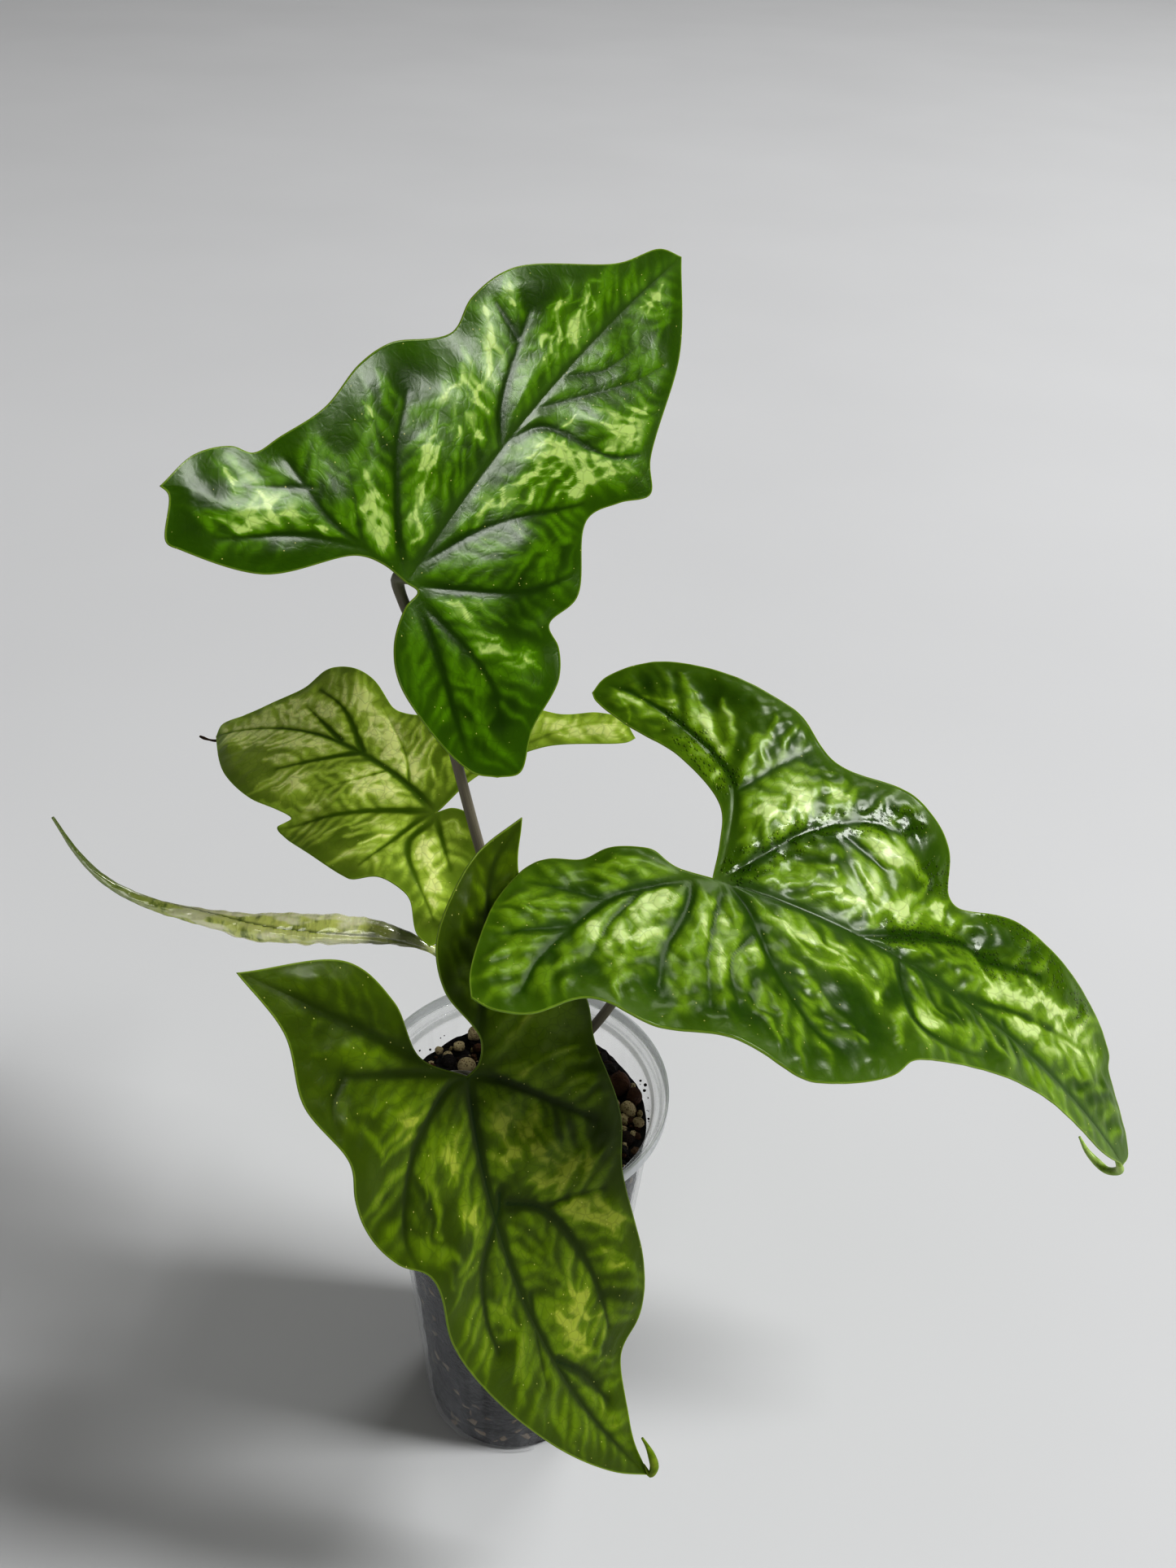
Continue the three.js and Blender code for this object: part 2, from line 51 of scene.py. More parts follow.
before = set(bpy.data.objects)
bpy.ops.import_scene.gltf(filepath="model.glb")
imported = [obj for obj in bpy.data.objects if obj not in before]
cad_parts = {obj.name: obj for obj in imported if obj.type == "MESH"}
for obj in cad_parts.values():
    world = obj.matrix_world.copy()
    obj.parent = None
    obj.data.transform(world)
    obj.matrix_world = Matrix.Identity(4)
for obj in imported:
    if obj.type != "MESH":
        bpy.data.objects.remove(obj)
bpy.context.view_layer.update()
MM = 0.001

# Pot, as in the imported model
POT_LOW, POT_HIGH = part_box("pot")
POT_HEIGHT = POT_HIGH.z / MM
RIM_RADIUS = POT_HIGH.x / MM
WALL_TOP_RADIUS = 41
WALL_TOP_HEIGHT = 143
FOOT_RADIUS = 30.5
FOOT_CHAMFER = 1
WALL_THICKNESS = 1.1
FLOOR_THICKNESS = 1.6
FOOT_STEP_HEIGHT = 13
FOOT_NOTCHES = 8
FOOT_NOTCH_RADIUS = 4.5
DRAIN_HOLES = 8
DRAIN_HOLE_RADIUS = 3
DRAIN_RING_RADIUS = 18
POT_SIDES = 160

# Painted highlights on the rim as milky rings: distance in from its edge, width and strength
RIM_HIGHLIGHT_RINGS = [(0.3, 0.8, 0.7), (2.3, 0.5, 0.3), (4.6, 0.6, 0.5)]

# Potting mix
MIX_LEVEL = 135.5
MIX_SEED = 7
MIX_LUMPS = 110
LUMP_RADIUS = (1.6, 3.6)
CLEARANCE = 0.3
MIX_SIDES = 160
MIX_SIDE_ROWS = 110
MIX_TOP_ROWS = 60
CRUMB_SEED = 23
WALL_SPECKS = 46

# Single grains that catch the eye: x, y, radius and tone, from 0 for dark bark to 1 for pumice
SHOW_GRAINS = [
    (-14.4, 33.7, 3.4, 0.8), (-16.4, 19.4, 3.6, 0.95), (27.5, 19, 3.4, 0.1), (31, 11, 4.2, 0.36),
    (35.5, 6.5, 3.0, 0.3), (33.6, 2, 2.9, 1.0), (30, -1.5, 2.2, 0.85), (36.5, -2.5, 2.0, 0.7),
    (27, 9, 2.2, 0.15), (35.4, 12, 1.5, 0.9), (29.5, 4.5, 1.7, 0.75), (37, 1.2, 1.3, 0.7),
    (31.5, -5, 1.8, 0.85), (27.5, -3, 1.9, 0.5), (34.5, -7, 1.5, 0.95), (26, 2, 2.2, 0.3),
    (-20, 28, 2.0, 0.9), (-23, 24, 1.8, 0.75), (-26, 27, 1.6, 0.95), (-11, 28, 1.9, 0.7),
]

# Stem and stalks
STEM_RADIUS = 6
STEM_BOTTOM = 104
STEM_TOP = 146
STEM_SIDES = 64
STEM_ROWS = 90
STEM_RINGS = [(17, 0.4), (6, 0.5), (30, 0.3)]  # distance below the stem's top, and rise
CROWN_RADIUS = 3.6
PETIOLE_RADIUS = 1.7
PETIOLE_NECK = 7
PETIOLE_SIDES = 24

# Blades
BLADE_THICKNESS = 0.8
GUTTER_WIDTH = 9
SINUS_SHARE = 0.36
SINUS_ROW_SHARE = 0.4
VEIN_GAP_CAP = 8
RIM_GAP_CAP = 14
TAIL_ROOT = 4

# paleness of the midrib, partly its own grey green and partly a painted sheen
# Each leaf lies in its own frame: the origin is where the petiole meets the blade, +Y runs along
# the midrib to the tip, +X to the right seen from above, and +Z is the upper side. Heading turns
# the midrib clockwise from +Y seen from above, climb lifts it, and roll turns the blade about it.
# Front, back, side, twist and the two lifts bend the blade by the square of the distance over the
# length, and gutter is the slope of its fold along the midrib. Sway moves the midrib sideways at
# its tip and in its middle. A swell is x, y, radius and height of a soft dip or rise. Sinus and
# front are the outline of each half. Veins are read off the real leaf as points on their lines. A
# streak is a cream stroke: x and y of both ends, half width and strength. Junction, petiole and
# tail are in the plant's frame, and a tail, the thin tip past the blade, has a radius as well.
# Angle is where the petiole stands round the stem, and also seeds the leaf's draws. The rest sets
# the look:
# dry_tail: how dry the tail looks, from 0 to 1
# spacing, bone: gap between the thin strokes that leave a vein, and their length over 1.1 to 2.1
# stroke, mottle: width factor of the cream strokes, and strength of the thin ones
# light: paleness of the plain green between the veins
# band: how far the deep green reaches from a vein
# shade_dim, lift: x, y, radius and share of spots with less pattern, a painted shade, and
# of lighter spots, a painted light where another leaf's shadow falls
# faint, line, rib_pale_and_sheen: number of thin last veins, darkness of vein lines, and
# furrow, ribs: depth factor of the veins, and how far cream is dimmed between the thin strokes
# quilt, pucker: swelling between the veins, and small wrinkles on it
# gloss, coat: roughness of the skin, and weight of its clear coat
# damp: lines along which drops lie
LEAVES = [
    dict(
        name="leaf_top", slot="dark_green_blade", angle=72,
        junction=(-30, 16.5, 309), heading=36, climb=26, roll=-56, length=127,
        front=0.06, back=0.22, side=0.19, gutter=0.12, twist=0, right_lift=0.13, left_lift=0.12,
        sway=(6, -3),
        swells=[(32, 50, 11, -4), (41, 20, 9, -3.5), (-36, 57, 11, -3), (-52, -4, 9, -3),
                (40, -22, 12, -3)],
        right_sinus=[(0, 0), (3.5, 0.5), (3.5, -5), (7.5, -14.5), (16, -21), (44, -23.5),
                     (50.5, -20)],
        right_front=[(50.5, -20), (54.5, -15), (50, -4), (48, 12.5), (43.5, 19), (37.5, 21.5),
                     (39, 32.5), (29, 52.5), (33, 62.5), (38.5, 71.5), (32.5, 79), (21.5, 113),
                     (6, 136.5)],
        left_sinus=[(0, 0), (-7.5, -1), (-14, -4.5), (-28, -24.5), (-45.5, -34), (-49, -35),
                    (-55.5, -26.5), (-58, -26.5)],
        left_front=[(-58, -26.5), (-57, -15), (-52, -6.5), (-47.5, -4), (-45.5, 3.5), (-42.5, 16.5),
                    (-43, 31.5), (-40.5, 42.5), (-30.5, 59), (-32.5, 70), (-29.5, 85), (-8, 115),
                    (-0.5, 131.5), (6, 136.5)],
        petiole=[(-3, 7, 190), (-14.7, 12, 242), (-25, 17, 285)], tail=[],
        veins=[
            [(0, 0), (-14, -2), (-26, -3), (-41, 0)], [(-14, -2), (-27, -11), (-41, -26)],
            [(0, 0), (-8, 6), (-23, 23), (-30, 36)], [(-3, 47), (-9, 54), (-19, 80)],
            [(-17, 72), (-27, 74)], [(-2, 50), (3, 60), (23, 70), (29, 77)],
            [(-1, 5), (8, 28), (25, 54)], [(1, 0), (26, 22), (35, 38)],
            [(1, -1), (5, -2), (35, -18), (42, -22)], [(1, 0), (6, -1), (33, -3), (42, -9)],
            [(-1, 63), (16, 93), (20, 104)], [(0, 77), (7, 87), (11, 104)], [(-14, -2), (-31, 11)],
            [(-33, -1), (-46, -14)],
        ],
        streaks=[
            (-29, 71, -16, 59, 3.1, 1.0), (-30, 81, -22, 77, 1.9, 0.9),
            (-11, 109, -10, 95, 1.3, 0.8), (-14, 94, -9, 74, 1.7, 0.9), (-9, 94, -5, 84, 2.4, 0.8),
            (6, 124, 7, 113, 1.5, 0.7), (21, 89, 21, 84, 2.4, 0.8), (14, 73, 23, 82, 2.4, 0.9),
            (5, 57, 12, 62, 1.1, 0.8), (4, 49, 24, 73, 1.5, 0.9), (4, 38, 14, 58, 1.1, 0.7),
            (10, 38, 11, 47, 1.3, 0.8), (17, 49, 27, 69, 1.7, 0.9), (3, 25, 6, 36, 1.7, 0.7),
            (10, 4, 18, 9, 2.0, 0.7), (24, 2, 29, 5, 1.2, 0.7), (32, 2, 40, 10, 1.5, 0.7),
            (-37, 24, -34, 22, 1.4, 0.9), (-22, 51, -16, 36, 1.2, 0.7),
            (-23, 50, -14, 48, 1.0, 0.6), (-15, 45, -9, 43, 1.6, 0.8), (-16, 32, -16, 24, 2.0, 0.8),
            (-12, 22, -8, 12, 1.4, 0.8), (-26, 13, -19, 10, 1.2, 0.7), (-23, 9, -19, 4, 1.2, 0.8),
            (-15, 6, -10, 1, 2.0, 0.9), (-51, -11, -46, -13, 1.1, 0.7),
            (-41, -11, -36, -13, 1.5, 0.8), (-45, -24, -36, -18, 1.3, 0.9),
            (-35, -10, -30, -8, 0.9, 0.8), (-27, -7, -21, -5, 1.3, 0.9),
        ],
        spacing=5, bone=11, stroke=0.64, light=0.08, band=2.2, shade_dim=[], lift=[],
        pucker=0.03, faint=4, line=0.5, rib_pale_and_sheen=0.25, furrow=0.12,
        ribs=0.5, quilt=0.5, mottle=0.4, gloss=0.24, coat=0.12, damp=[],
    ),
    dict(
        name="leaf_back", slot="pale_green_blade", angle=144,
        junction=(-27, 51, 213), heading=-50, climb=4, roll=24, length=113,
        front=0.31, back=0.11, side=0.04, gutter=0.19, twist=0.06, right_lift=0.09, left_lift=-0.01,
        sway=(-8.5, 7),
        swells=[(25, 38, 12, -4), (-31, 38, 9, -4), (-30, -3, 9, 3), (30, 62, 10, 2.5)],
        right_sinus=[(0, 0), (15.5, -3), (34, -15.5), (48.5, -37.5), (51, -39)],
        right_front=[(51, -39), (54, -32), (52, -24), (46, -14.5), (42, -1), (27.5, 26.5),
                     (24.5, 38), (24.5, 42.5), (29, 55.5), (28.5, 73.5), (26, 79), (19, 82.5),
                     (16, 85.5), (2.5, 105), (-3, 114.5), (-8, 112)],
        left_sinus=[(0, 0), (4, -3.5), (5, -10.5), (-0.5, -18.5), (-10, -23), (-17.5, -24),
                    (-32.5, -32), (-36, -31)],
        left_front=[(-36, -31), (-35, -25), (-28, -16), (-27, -12), (-28, -4), (-33, 2),
                    (-33.5, 5.5), (-31.5, 37.5), (-30, 42.5), (-25.5, 40.5), (-26.5, 60),
                    (-23, 79.5), (-18.5, 91.5), (-8, 112)],
        petiole=[(-8, 13, 167), (-19, 37, 195)],
        dry_tail=1, tail=[(-110, 129, 184.5, 0.5), (-113, 131, 183.5, 0.35),
                          (-115, 132, 183.5, 0.55), (-116.5, 133, 183.5, 0.4)],
        veins=[
            [(6, 39), (16, 58), (19, 74)], [(-1, 2), (-11, 18), (-30, 41)],
            [(0, 0), (-3, 2), (-28, 4)], [(0, 0), (-3, -1), (-13, -1), (-29, -26)],
            [(0, 0), (-1, -1), (-13, -18)], [(6, 39), (-13, 62)], [(6, 50), (12, 74)],
            [(2, 13), (11, 23), (23, 46)], [(4, 25), (-16, 42)],
            [(1, 0), (16, -1), (33, -11), (47, -23), (53, -33)],
        ],
        streaks=[
            (10, 83, 14, 76, 3.3, 0.6), (10, 69, 14, 64, 3.0, 0.6), (-5, 108, 1, 77, 3.1, 0.6),
            (-3, 72, 3, 57, 2.4, 0.6), (21, 55, 22, 52, 3.5, 0.9), (12, 45, 15, 40, 3.2, 0.8),
            (20, 41, 13, 32, 2.0, 0.7), (10, 32, 10, 27, 3.4, 0.9), (11, 23, 8, 16, 2.0, 0.6),
            (-3, 34, -4, 26, 2.0, 0.8), (1, 27, 1, 20, 1.9, 0.7), (-12, 52, -20, 47, 1.1, 0.7),
            (-9, -3, -14, -11, 1.9, 0.6), (-18, -15, -28, -25, 1.3, 0.7),
            (40, -18, 50, -36, 1.1, 0.8), (42, -11, 46, -23, 1.1, 0.5),
        ],
        spacing=5, bone=10, stroke=1.2, light=0.24, band=2, shade_dim=[], lift=[],
        pucker=0.1, faint=3, line=0.3, rib_pale_and_sheen=0.15, furrow=0.14,
        ribs=0.5, quilt=0.8, mottle=0.7, gloss=0.42, coat=0.05, damp=[],
    ),
    dict(
        name="leaf_right", slot="bright_green_blade", angle=0,
        junction=(49, -11, 240), heading=100, climb=-10, roll=-16, length=150,
        front=0.55, back=0.25, side=0.07, gutter=0.23, twist=-0.24, right_lift=-0.06,
        left_lift=-0.12, sway=(5, 1),
        swells=[(-24, 69, 11, -5), (-48, 29, 11, -4), (50, 12, 10, 3), (52, -21, 9, 3),
                (33, 60, 10, 2.5), (-30, 92, 10, -2)],
        right_sinus=[(0, 0), (-0.5, -10), (-4, -16.5), (-4, -20.5), (-1.5, -28), (4, -34), (6, -42),
                     (9, -46), (14, -49), (25.5, -52.5), (49.5, -53), (57, -51)],
        right_front=[(57, -51), (59, -45.5), (58, -37), (50.5, -24.5), (52.5, -9), (50, 10.5),
                     (52, 28), (51, 33.5), (39.5, 53.5), (32.5, 59), (29, 64), (20.5, 80),
                     (11.5, 107), (8.5, 137.5), (4.5, 149)],
        left_sinus=[(0, 0), (-11, 0), (-21.5, -2), (-33.5, -15.5), (-41.5, -32.5), (-48, -41.5),
                    (-50.5, -43)],
        left_front=[(-50.5, -43), (-56.5, -40.5), (-63.5, -29), (-63.5, -13.5), (-57.5, 8.5),
                    (-55, 15), (-46.5, 27), (-43.5, 52.5), (-36, 64.5), (-25.5, 67.5), (-24, 70.5),
                    (-29.5, 92.5), (-23.5, 123.5), (-17.5, 134), (-13.5, 135), (-3, 149),
                    (0.5, 151), (4.5, 149)],
        petiole=[(20.7, -2, 176), (38, -6.5, 215)],
        dry_tail=0, tail=[(183, -15, 131.5, 1.3), (181.5, -11.5, 127, 1.2), (180, -8, 126, 1.3),
                          (177, -5, 128, 0.9), (174, -3, 132.5, 0.35)],
        veins=[
            [(0, -2), (9, -17), (16, -25), (41, -38), (52, -40)],
            [(3, -5), (11, -5), (30, -9), (41, -9)],
            [(0, 4), (6, 10), (24, 20), (37, 32), (39, 39)],
            [(0, 1), (-5, 2), (-26, 1), (-33, -3), (-51, -30), (-54, -39)],
            [(0, 2), (-4, 6), (-21, 22), (-31, 39), (-32, 48)], [(-24, 34), (-20, 45)],
            [(1, 42), (-14, 74), (-13, 81), (-19, 101)],
            [(1, 54), (11, 56), (19, 61), (19, 73), (15, 84)], [(1, 78), (-4, 92), (-11, 122)],
            [(-26, 1), (-45, 18)], [(16, -25), (16, -46)], [(28, -33), (36, -50)],
            [(9, -17), (26, -24), (41, -27)], [(1, 3), (27, 2), (43, 4)], [(1, 90), (9, 98)],
            [(14, 13), (25, 8), (41, 11)],
        ],
        streaks=[
            (-53, -39, -43, -18, 1.7, 0.7), (-48, -11, -43, -9, 2.0, 0.8),
            (-41, -8, -32, -3, 2.5, 0.9), (-33, 17, -26, 21, 2.5, 0.9), (-22, 8, -22, 13, 3.0, 0.9),
            (-35, 27, -36, 29, 2.1, 0.9), (-25, 41, -24, 49, 2.5, 0.8), (-8, 27, -12, 42, 1.6, 0.6),
            (-7, 36, -8, 41, 2.4, 0.8), (-10, 48, -13, 53, 3.5, 1.0), (-18, 63, -20, 66, 2.8, 0.8),
            (-4, 81, -12, 102, 1.4, 0.9), (-10, 81, -7, 86, 1.1, 0.7),
            (-12, 102, -14, 111, 1.4, 0.8), (-2, 95, -4, 102, 2.8, 0.9),
            (-7, 107, -11, 118, 1.7, 0.7), (-12, 124, -11, 129, 2.1, 0.8),
            (17, -19, 9, -11, 2.8, 0.8), (30, -28, 25, -24, 2.0, 0.7), (32, -23, 22, -10, 2.2, 0.6),
            (7, 1, 14, 5, 2.1, 0.8), (16, 0, 24, 4, 1.3, 0.7), (29, 6, 20, 10, 1.8, 0.7),
            (8, 20, 11, 27, 1.6, 0.7), (6, 32, 11, 38, 1.6, 0.6), (16, 28, 14, 38, 1.6, 0.8),
            (12, 41, 18, 49, 1.3, 0.6), (18, 58, 17, 67, 2.6, 0.8), (8, 107, 12, 129, 1.2, 0.5),
        ],
        spacing=6.5, bone=11, stroke=0.9, light=0.05, band=2.7, shade_dim=[], lift=[],
        pucker=0.17, faint=8, line=0.55, rib_pale_and_sheen=0.22, furrow=0.15,
        ribs=0.45, quilt=1.1, mottle=0.5, gloss=0.34, coat=0.22,
        damp=[[(-4, 6), (-21, 22), (-31, 39), (-36, 52)],
              [(-4, 50), (-14, 74), (-13, 81), (-19, 101)], [(-30, -2), (-44, -18)],
              [(-26, 58), (-30, 68), (-26, 92), (-20, 118)]],
    ),
    dict(
        name="leaf_front", slot="olive_green_blade", angle=288,
        junction=(-13, -48, 204.5), heading=131, climb=-66, roll=-4, length=137,
        front=0, back=0.23, side=0.12, gutter=0.14, twist=0.05, right_lift=-0.11, left_lift=0,
        sway=(-11.5, 9),
        swells=[(33, 40, 11, 4), (42, -2, 10, 3), (-18, 104, 10, -4), (-38, -38, 10, -4),
                (-42, 5, 12, -2)],
        right_sinus=[(0, 0), (11, -13), (11.5, -28.5), (18.5, -43.5), (44, -55)],
        right_front=[(44, -55), (40.5, -37), (44, -20.5), (40.5, -3.5), (42.5, 5.5), (41.5, 19),
                     (38, 28.5), (32, 36.5), (32, 58), (28.5, 74.5), (21.5, 94), (11, 115.5),
                     (-1, 133.5), (-12, 145.5)],
        left_sinus=[(0, 0), (-4, -1), (-7, -6.5), (-2.5, -23), (-4, -32.5), (-8.5, -39),
                    (-23.5, -49), (-42, -52)],
        left_front=[(-42, -52), (-35.5, -35), (-41.5, 2.5), (-39.5, 13.5), (-39, 37), (-34, 52.5),
                    (-32, 81), (-28.5, 95), (-25.5, 100.5), (-18, 107), (-12, 124.5), (-11, 133),
                    (-12, 145.5)],
        petiole=[(-5, -21, 172), (-14, -41, 197)],
        dry_tail=0, tail=[(40, -78, 72, 0.8), (41, -77.5, 75, 1.3), (40, -76.5, 79.5, 1.1),
                          (38.5, -75.5, 83, 0.6), (37, -75, 86, 0.35)],
        veins=[
            [(0, 0), (6, -1), (21, 6), (26, 11), (34, 25), (34, 32)],
            [(3, 34), (5, 38), (15, 47), (18, 53), (20, 62), (20, 72)],
            [(0, 0), (3, -3), (23, -28), (42, -53)], [(0, 0), (3, -3), (32, -21)],
            [(0, 0), (-5, 3), (-31, 33)], [(2, 38), (-7, 46), (-14, 67), (-16, 94)],
            [(0, 0), (-6, -7), (-28, -43), (-41, -51)], [(4, 89), (-3, 100), (-8, 114)],
            [(32, -21), (38, -17), (40, -11)], [(5, 66), (10, 92)],
            [(-7, 46), (-16, 48), (-27, 53)],
        ],
        streaks=[
            (25, -4, 19, 1, 1.9, 0.6), (13, 10, 15, 21, 1.4, 0.6), (-4, 15, -5, 20, 1.6, 0.7),
            (-2, 25, -6, 27, 2.7, 0.9), (-12, 18, -12, 25, 1.3, 0.5), (-10, 26, -12, 34, 1.5, 0.7),
            (-13, 34, -20, 42, 1.3, 0.6), (-6, 36, -13, 41, 2.7, 0.9), (-14, 50, -18, 54, 1.5, 0.9),
            (-19, 55, -28, 66, 2.0, 0.8), (-6, 73, -10, 86, 2.2, 0.6), (0, 76, -6, 89, 2.6, 0.6),
            (-20, 69, -23, 77, 1.8, 0.4), (29, -28, 24, -21, 2.3, 0.4),
            (33, -36, 32, -35, 1.7, 0.5), (16, 31, 10, 34, 1.6, 0.4),
        ],
        spacing=6, bone=12, stroke=0.95, light=0.12, band=2.4, shade_dim=[(32, -32, 27, 0.75)],
        lift=[(-24, -6, 20, 0.4)], pucker=0.1, faint=3, line=0.7, rib_pale_and_sheen=0.04, furrow=0.17,
        ribs=0.35, quilt=0.9, mottle=0.5, gloss=0.4, coat=0.08, damp=[],
    ),
]

# The new leaf is still rolled: x, y, z and radius along it, from the stem to its thin tip
NEW_LEAF_ANGLE = 216
NEW_LEAF_PATH = [
    (-8, 3, 162, 1.5), (-17, 11, 179, 1.4), (-24, 14.5, 188.5, 1.3), (-29, 15, 192, 1.6),
    (-41, 16, 195.5, 3.4), (-57.5, 18, 195, 4.4), (-76, 20, 193.5, 4.3), (-94, 23, 194.5, 2.7),
    (-110, 26, 197, 1.8), (-122, 28, 203.5, 1.2), (-129, 30, 212, 0.8), (-134.5, 32, 223, 0.4),
]

# Camera, floor and lights, in metres, degrees and watts
CAMERA_PLACE = (0.0, -0.305, 0.480)
CAMERA_YAW = 3.0
CAMERA_PITCH = 35.6
CAMERA_ROLL = 2.9
CAMERA_LENS_MM = 33.63
FLOOR_HALF_WIDTH = 6.0
SKY_STRENGTH = 0.112
LIGHT_AIM = (0, 0, 0.2)

# Soft lights that face the aim point: place, width and height, power
LIGHTS = {
    "side_window": ((3.8, -0.6, 4.3), (1.2, 2.6), 226),
    "back_window": ((2.4, 3.6, 4.8), (2.0, 2.0), 58),
    "room_glow": ((-0.4, -3.4, 1.1), (2.4, 1.6), 21),
}


# Numbers and curves


def seeded_random(seed):
    """Draws the same numbers from 0 to 1 each time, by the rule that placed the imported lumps."""
    whole = 0xFFFFFFFF
    state = seed

    def draw():
        nonlocal state
        state = (state + 0x6D2B79F5) & whole
        value = ((state ^ (state >> 15)) * (1 | state)) & whole
        value = ((value + (((value ^ (value >> 7)) * (61 | value)) & whole)) & whole) ^ value
        return ((value ^ (value >> 14)) & whole) / (whole + 1)

    return draw


def ripples(points, size, seed, count=14):
    """Soft noise of about -1 to 1: a sum of sine waves near one wavelength in seeded directions."""
    points = np.asarray(points, float)
    draw = np.random.default_rng(seed)
    ways = draw.normal(size=(count, points.shape[-1]))
    ways /= np.linalg.norm(ways, axis=1, keepdims=True)
    waves = ways * (2 * np.pi / size) * draw.uniform(0.6, 1.5, (count, 1))
    phases = draw.uniform(0, 2 * np.pi, count)
    total = np.zeros(points.shape[:-1])
    for wave, phase in zip(waves, phases):
        total += np.sin(points @ wave + phase)
    return total / math.sqrt(2 * count) * 1.4


def smoothstep(low, high, value):
    """0 below low and 1 above high, joined by 3t^2 - 2t^3."""
    t = np.clip((value - low) / (high - low), 0, 1)
    return t * t * (3 - 2 * t)


def spline(points, per_span=16):
    """A curve through the points with knots at the square roots of their gaps.

    Each span blends its four nearest points in three rounds of straight steps between knots.
    """
    p = np.asarray(points, float)
    if len(p) == 2:
        share = np.linspace(0, 1, per_span + 1)[:, None]
        return p[0] * (1 - share) + p[1] * share
    p = np.vstack([2 * p[0] - p[1], p, 2 * p[-1] - p[-2]])
    gaps = np.linalg.norm(np.diff(p[:, :3], axis=0), axis=1) ** 0.5
    knots = np.r_[0, np.cumsum(gaps)]
    p0, p1, p2, p3 = (p[i : len(p) - 3 + i, None, :] for i in range(4))
    k0, k1, k2, k3 = (knots[i : len(p) - 3 + i, None, None] for i in range(4))
    t = k1 + (k2 - k1) * np.linspace(0, 1, per_span, endpoint=False)[None, :, None]
    a1 = ((k1 - t) * p0 + (t - k0) * p1) / (k1 - k0)
    a2 = ((k2 - t) * p1 + (t - k1) * p2) / (k2 - k1)
    a3 = ((k3 - t) * p2 + (t - k2) * p3) / (k3 - k2)
    b1 = ((k2 - t) * a1 + (t - k0) * a2) / (k2 - k0)
    b2 = ((k3 - t) * a2 + (t - k1) * a3) / (k3 - k1)
    curve = ((k2 - t) * b1 + (t - k1) * b2) / (k2 - k1)
    return np.vstack([curve.reshape(-1, p.shape[1]), p[-2:-1]])


def travelled(curve):
    """Distance run along a curve, from 0 at its first point."""
    return np.r_[0, np.cumsum(np.linalg.norm(np.diff(curve[:, :3], axis=0), axis=1))]


def at_shares(curve, shares):
    """Points of a curve at shares of its length, by straight steps between its own points."""
    run = travelled(curve)
    columns = [np.interp(np.asarray(shares) * run[-1], run, column) for column in curve.T]
    return np.stack(columns, axis=-1)


def line_gap(places, line):
    """Distance of each place from a line of straight steps, and the share of the line run there."""
    start, step = line[:-1], np.diff(line, axis=0)
    off = places[:, None, :] - start[None]
    along = np.clip((off * step).sum(-1) / np.maximum((step**2).sum(-1), 1e-9), 0, 1)
    gaps = np.linalg.norm(off - along[..., None] * step[None], axis=-1)
    nearest = gaps.argmin(axis=1)
    rows = np.arange(len(places))
    run = travelled(line)
    lengths = np.diff(run)
    reached = run[nearest] + along[rows, nearest] * lengths[nearest]
    return gaps[rows, nearest], reached / run[-1]


def on_circle(radius, turn, z):
    """The point at a distance from the upright axis, an angle round it and a height."""
    return np.array([radius * math.cos(turn), radius * math.sin(turn), z])


def round_axis(reach, turn, height):
    """The same points for many distances, angles and heights at once."""
    return np.stack([reach * np.cos(turn), reach * np.sin(turn), height], axis=1)


def facing_axes(*degrees):
    """Right, ahead and up from a heading, a climb and a roll in degrees."""
    heading, climb, roll = (math.radians(angle) for angle in degrees)
    ahead = np.array([
        math.sin(heading) * math.cos(climb), math.cos(heading) * math.cos(climb), math.sin(climb)])
    level = np.array([math.cos(heading), -math.sin(heading), 0])
    right = math.cos(roll) * level + math.sin(roll) * np.cross(level, ahead)
    return right, ahead, np.cross(right, ahead)


# Meshes


def grid_faces(rows, columns, wrap=False, offset=0, flip=False):
    """Quads of a grid numbered row by row. Wrap joins the last column to the first."""
    i = np.arange(rows - 1)[:, None]
    j = np.arange(columns if wrap else columns - 1)[None, :]
    k = (j + 1) % columns
    corners = [i * columns + j, i * columns + k, (i + 1) * columns + k, (i + 1) * columns + j]
    faces = offset + np.stack(corners, axis=-1).reshape(-1, 4)
    return faces[:, ::-1] if flip else faces


def weld(points, faces):
    """Corners that share a micrometre become one. Gives the kept points' numbers and the faces."""
    keys = np.round(points / MM).astype(np.int64)
    _, kept, merged = np.unique(keys, axis=0, return_index=True, return_inverse=True)
    return kept, merged.reshape(-1)[faces]


def split_pinched(faces):
    """Whole quads, and triangles from the quads whose two neighbouring corners are one."""
    same = faces == np.roll(faces, -1, axis=1)
    count = same.sum(axis=1)
    triangles = faces[count == 1][~same[count == 1]].reshape(-1, 3)
    return faces[count == 0], triangles


def new_piece(name, points, faces, material, values=None, sharp=None):
    """Puts points, faces and values for the material into a new mesh object."""
    kept, corners = weld(points, faces)
    if corners.shape[1] == 4:
        quads, triangles = split_pinched(corners)
    else:
        quads, triangles = np.zeros((0, 4), int), corners
    mesh = bpy.data.meshes.new(name)
    mesh.vertices.add(len(kept))
    mesh.vertices.foreach_set("co", (points[kept] * MM).ravel())
    counts = np.r_[np.full(len(quads), 4), np.full(len(triangles), 3)]
    mesh.loops.add(int(counts.sum()))
    mesh.loops.foreach_set("vertex_index", np.r_[quads.ravel(), triangles.ravel()])
    mesh.polygons.add(len(counts))
    mesh.polygons.foreach_set("loop_start", np.r_[0, np.cumsum(counts)[:-1]])
    mesh.update(calc_edges=True)
    mesh.validate()
    for key, array in (values or {}).items():
        put_values(mesh, key, np.asarray(array)[kept])
    finish_mesh(mesh, material, sharp)
    piece = bpy.data.objects.new(name, mesh)
    bpy.context.scene.collection.objects.link(piece)
    return piece


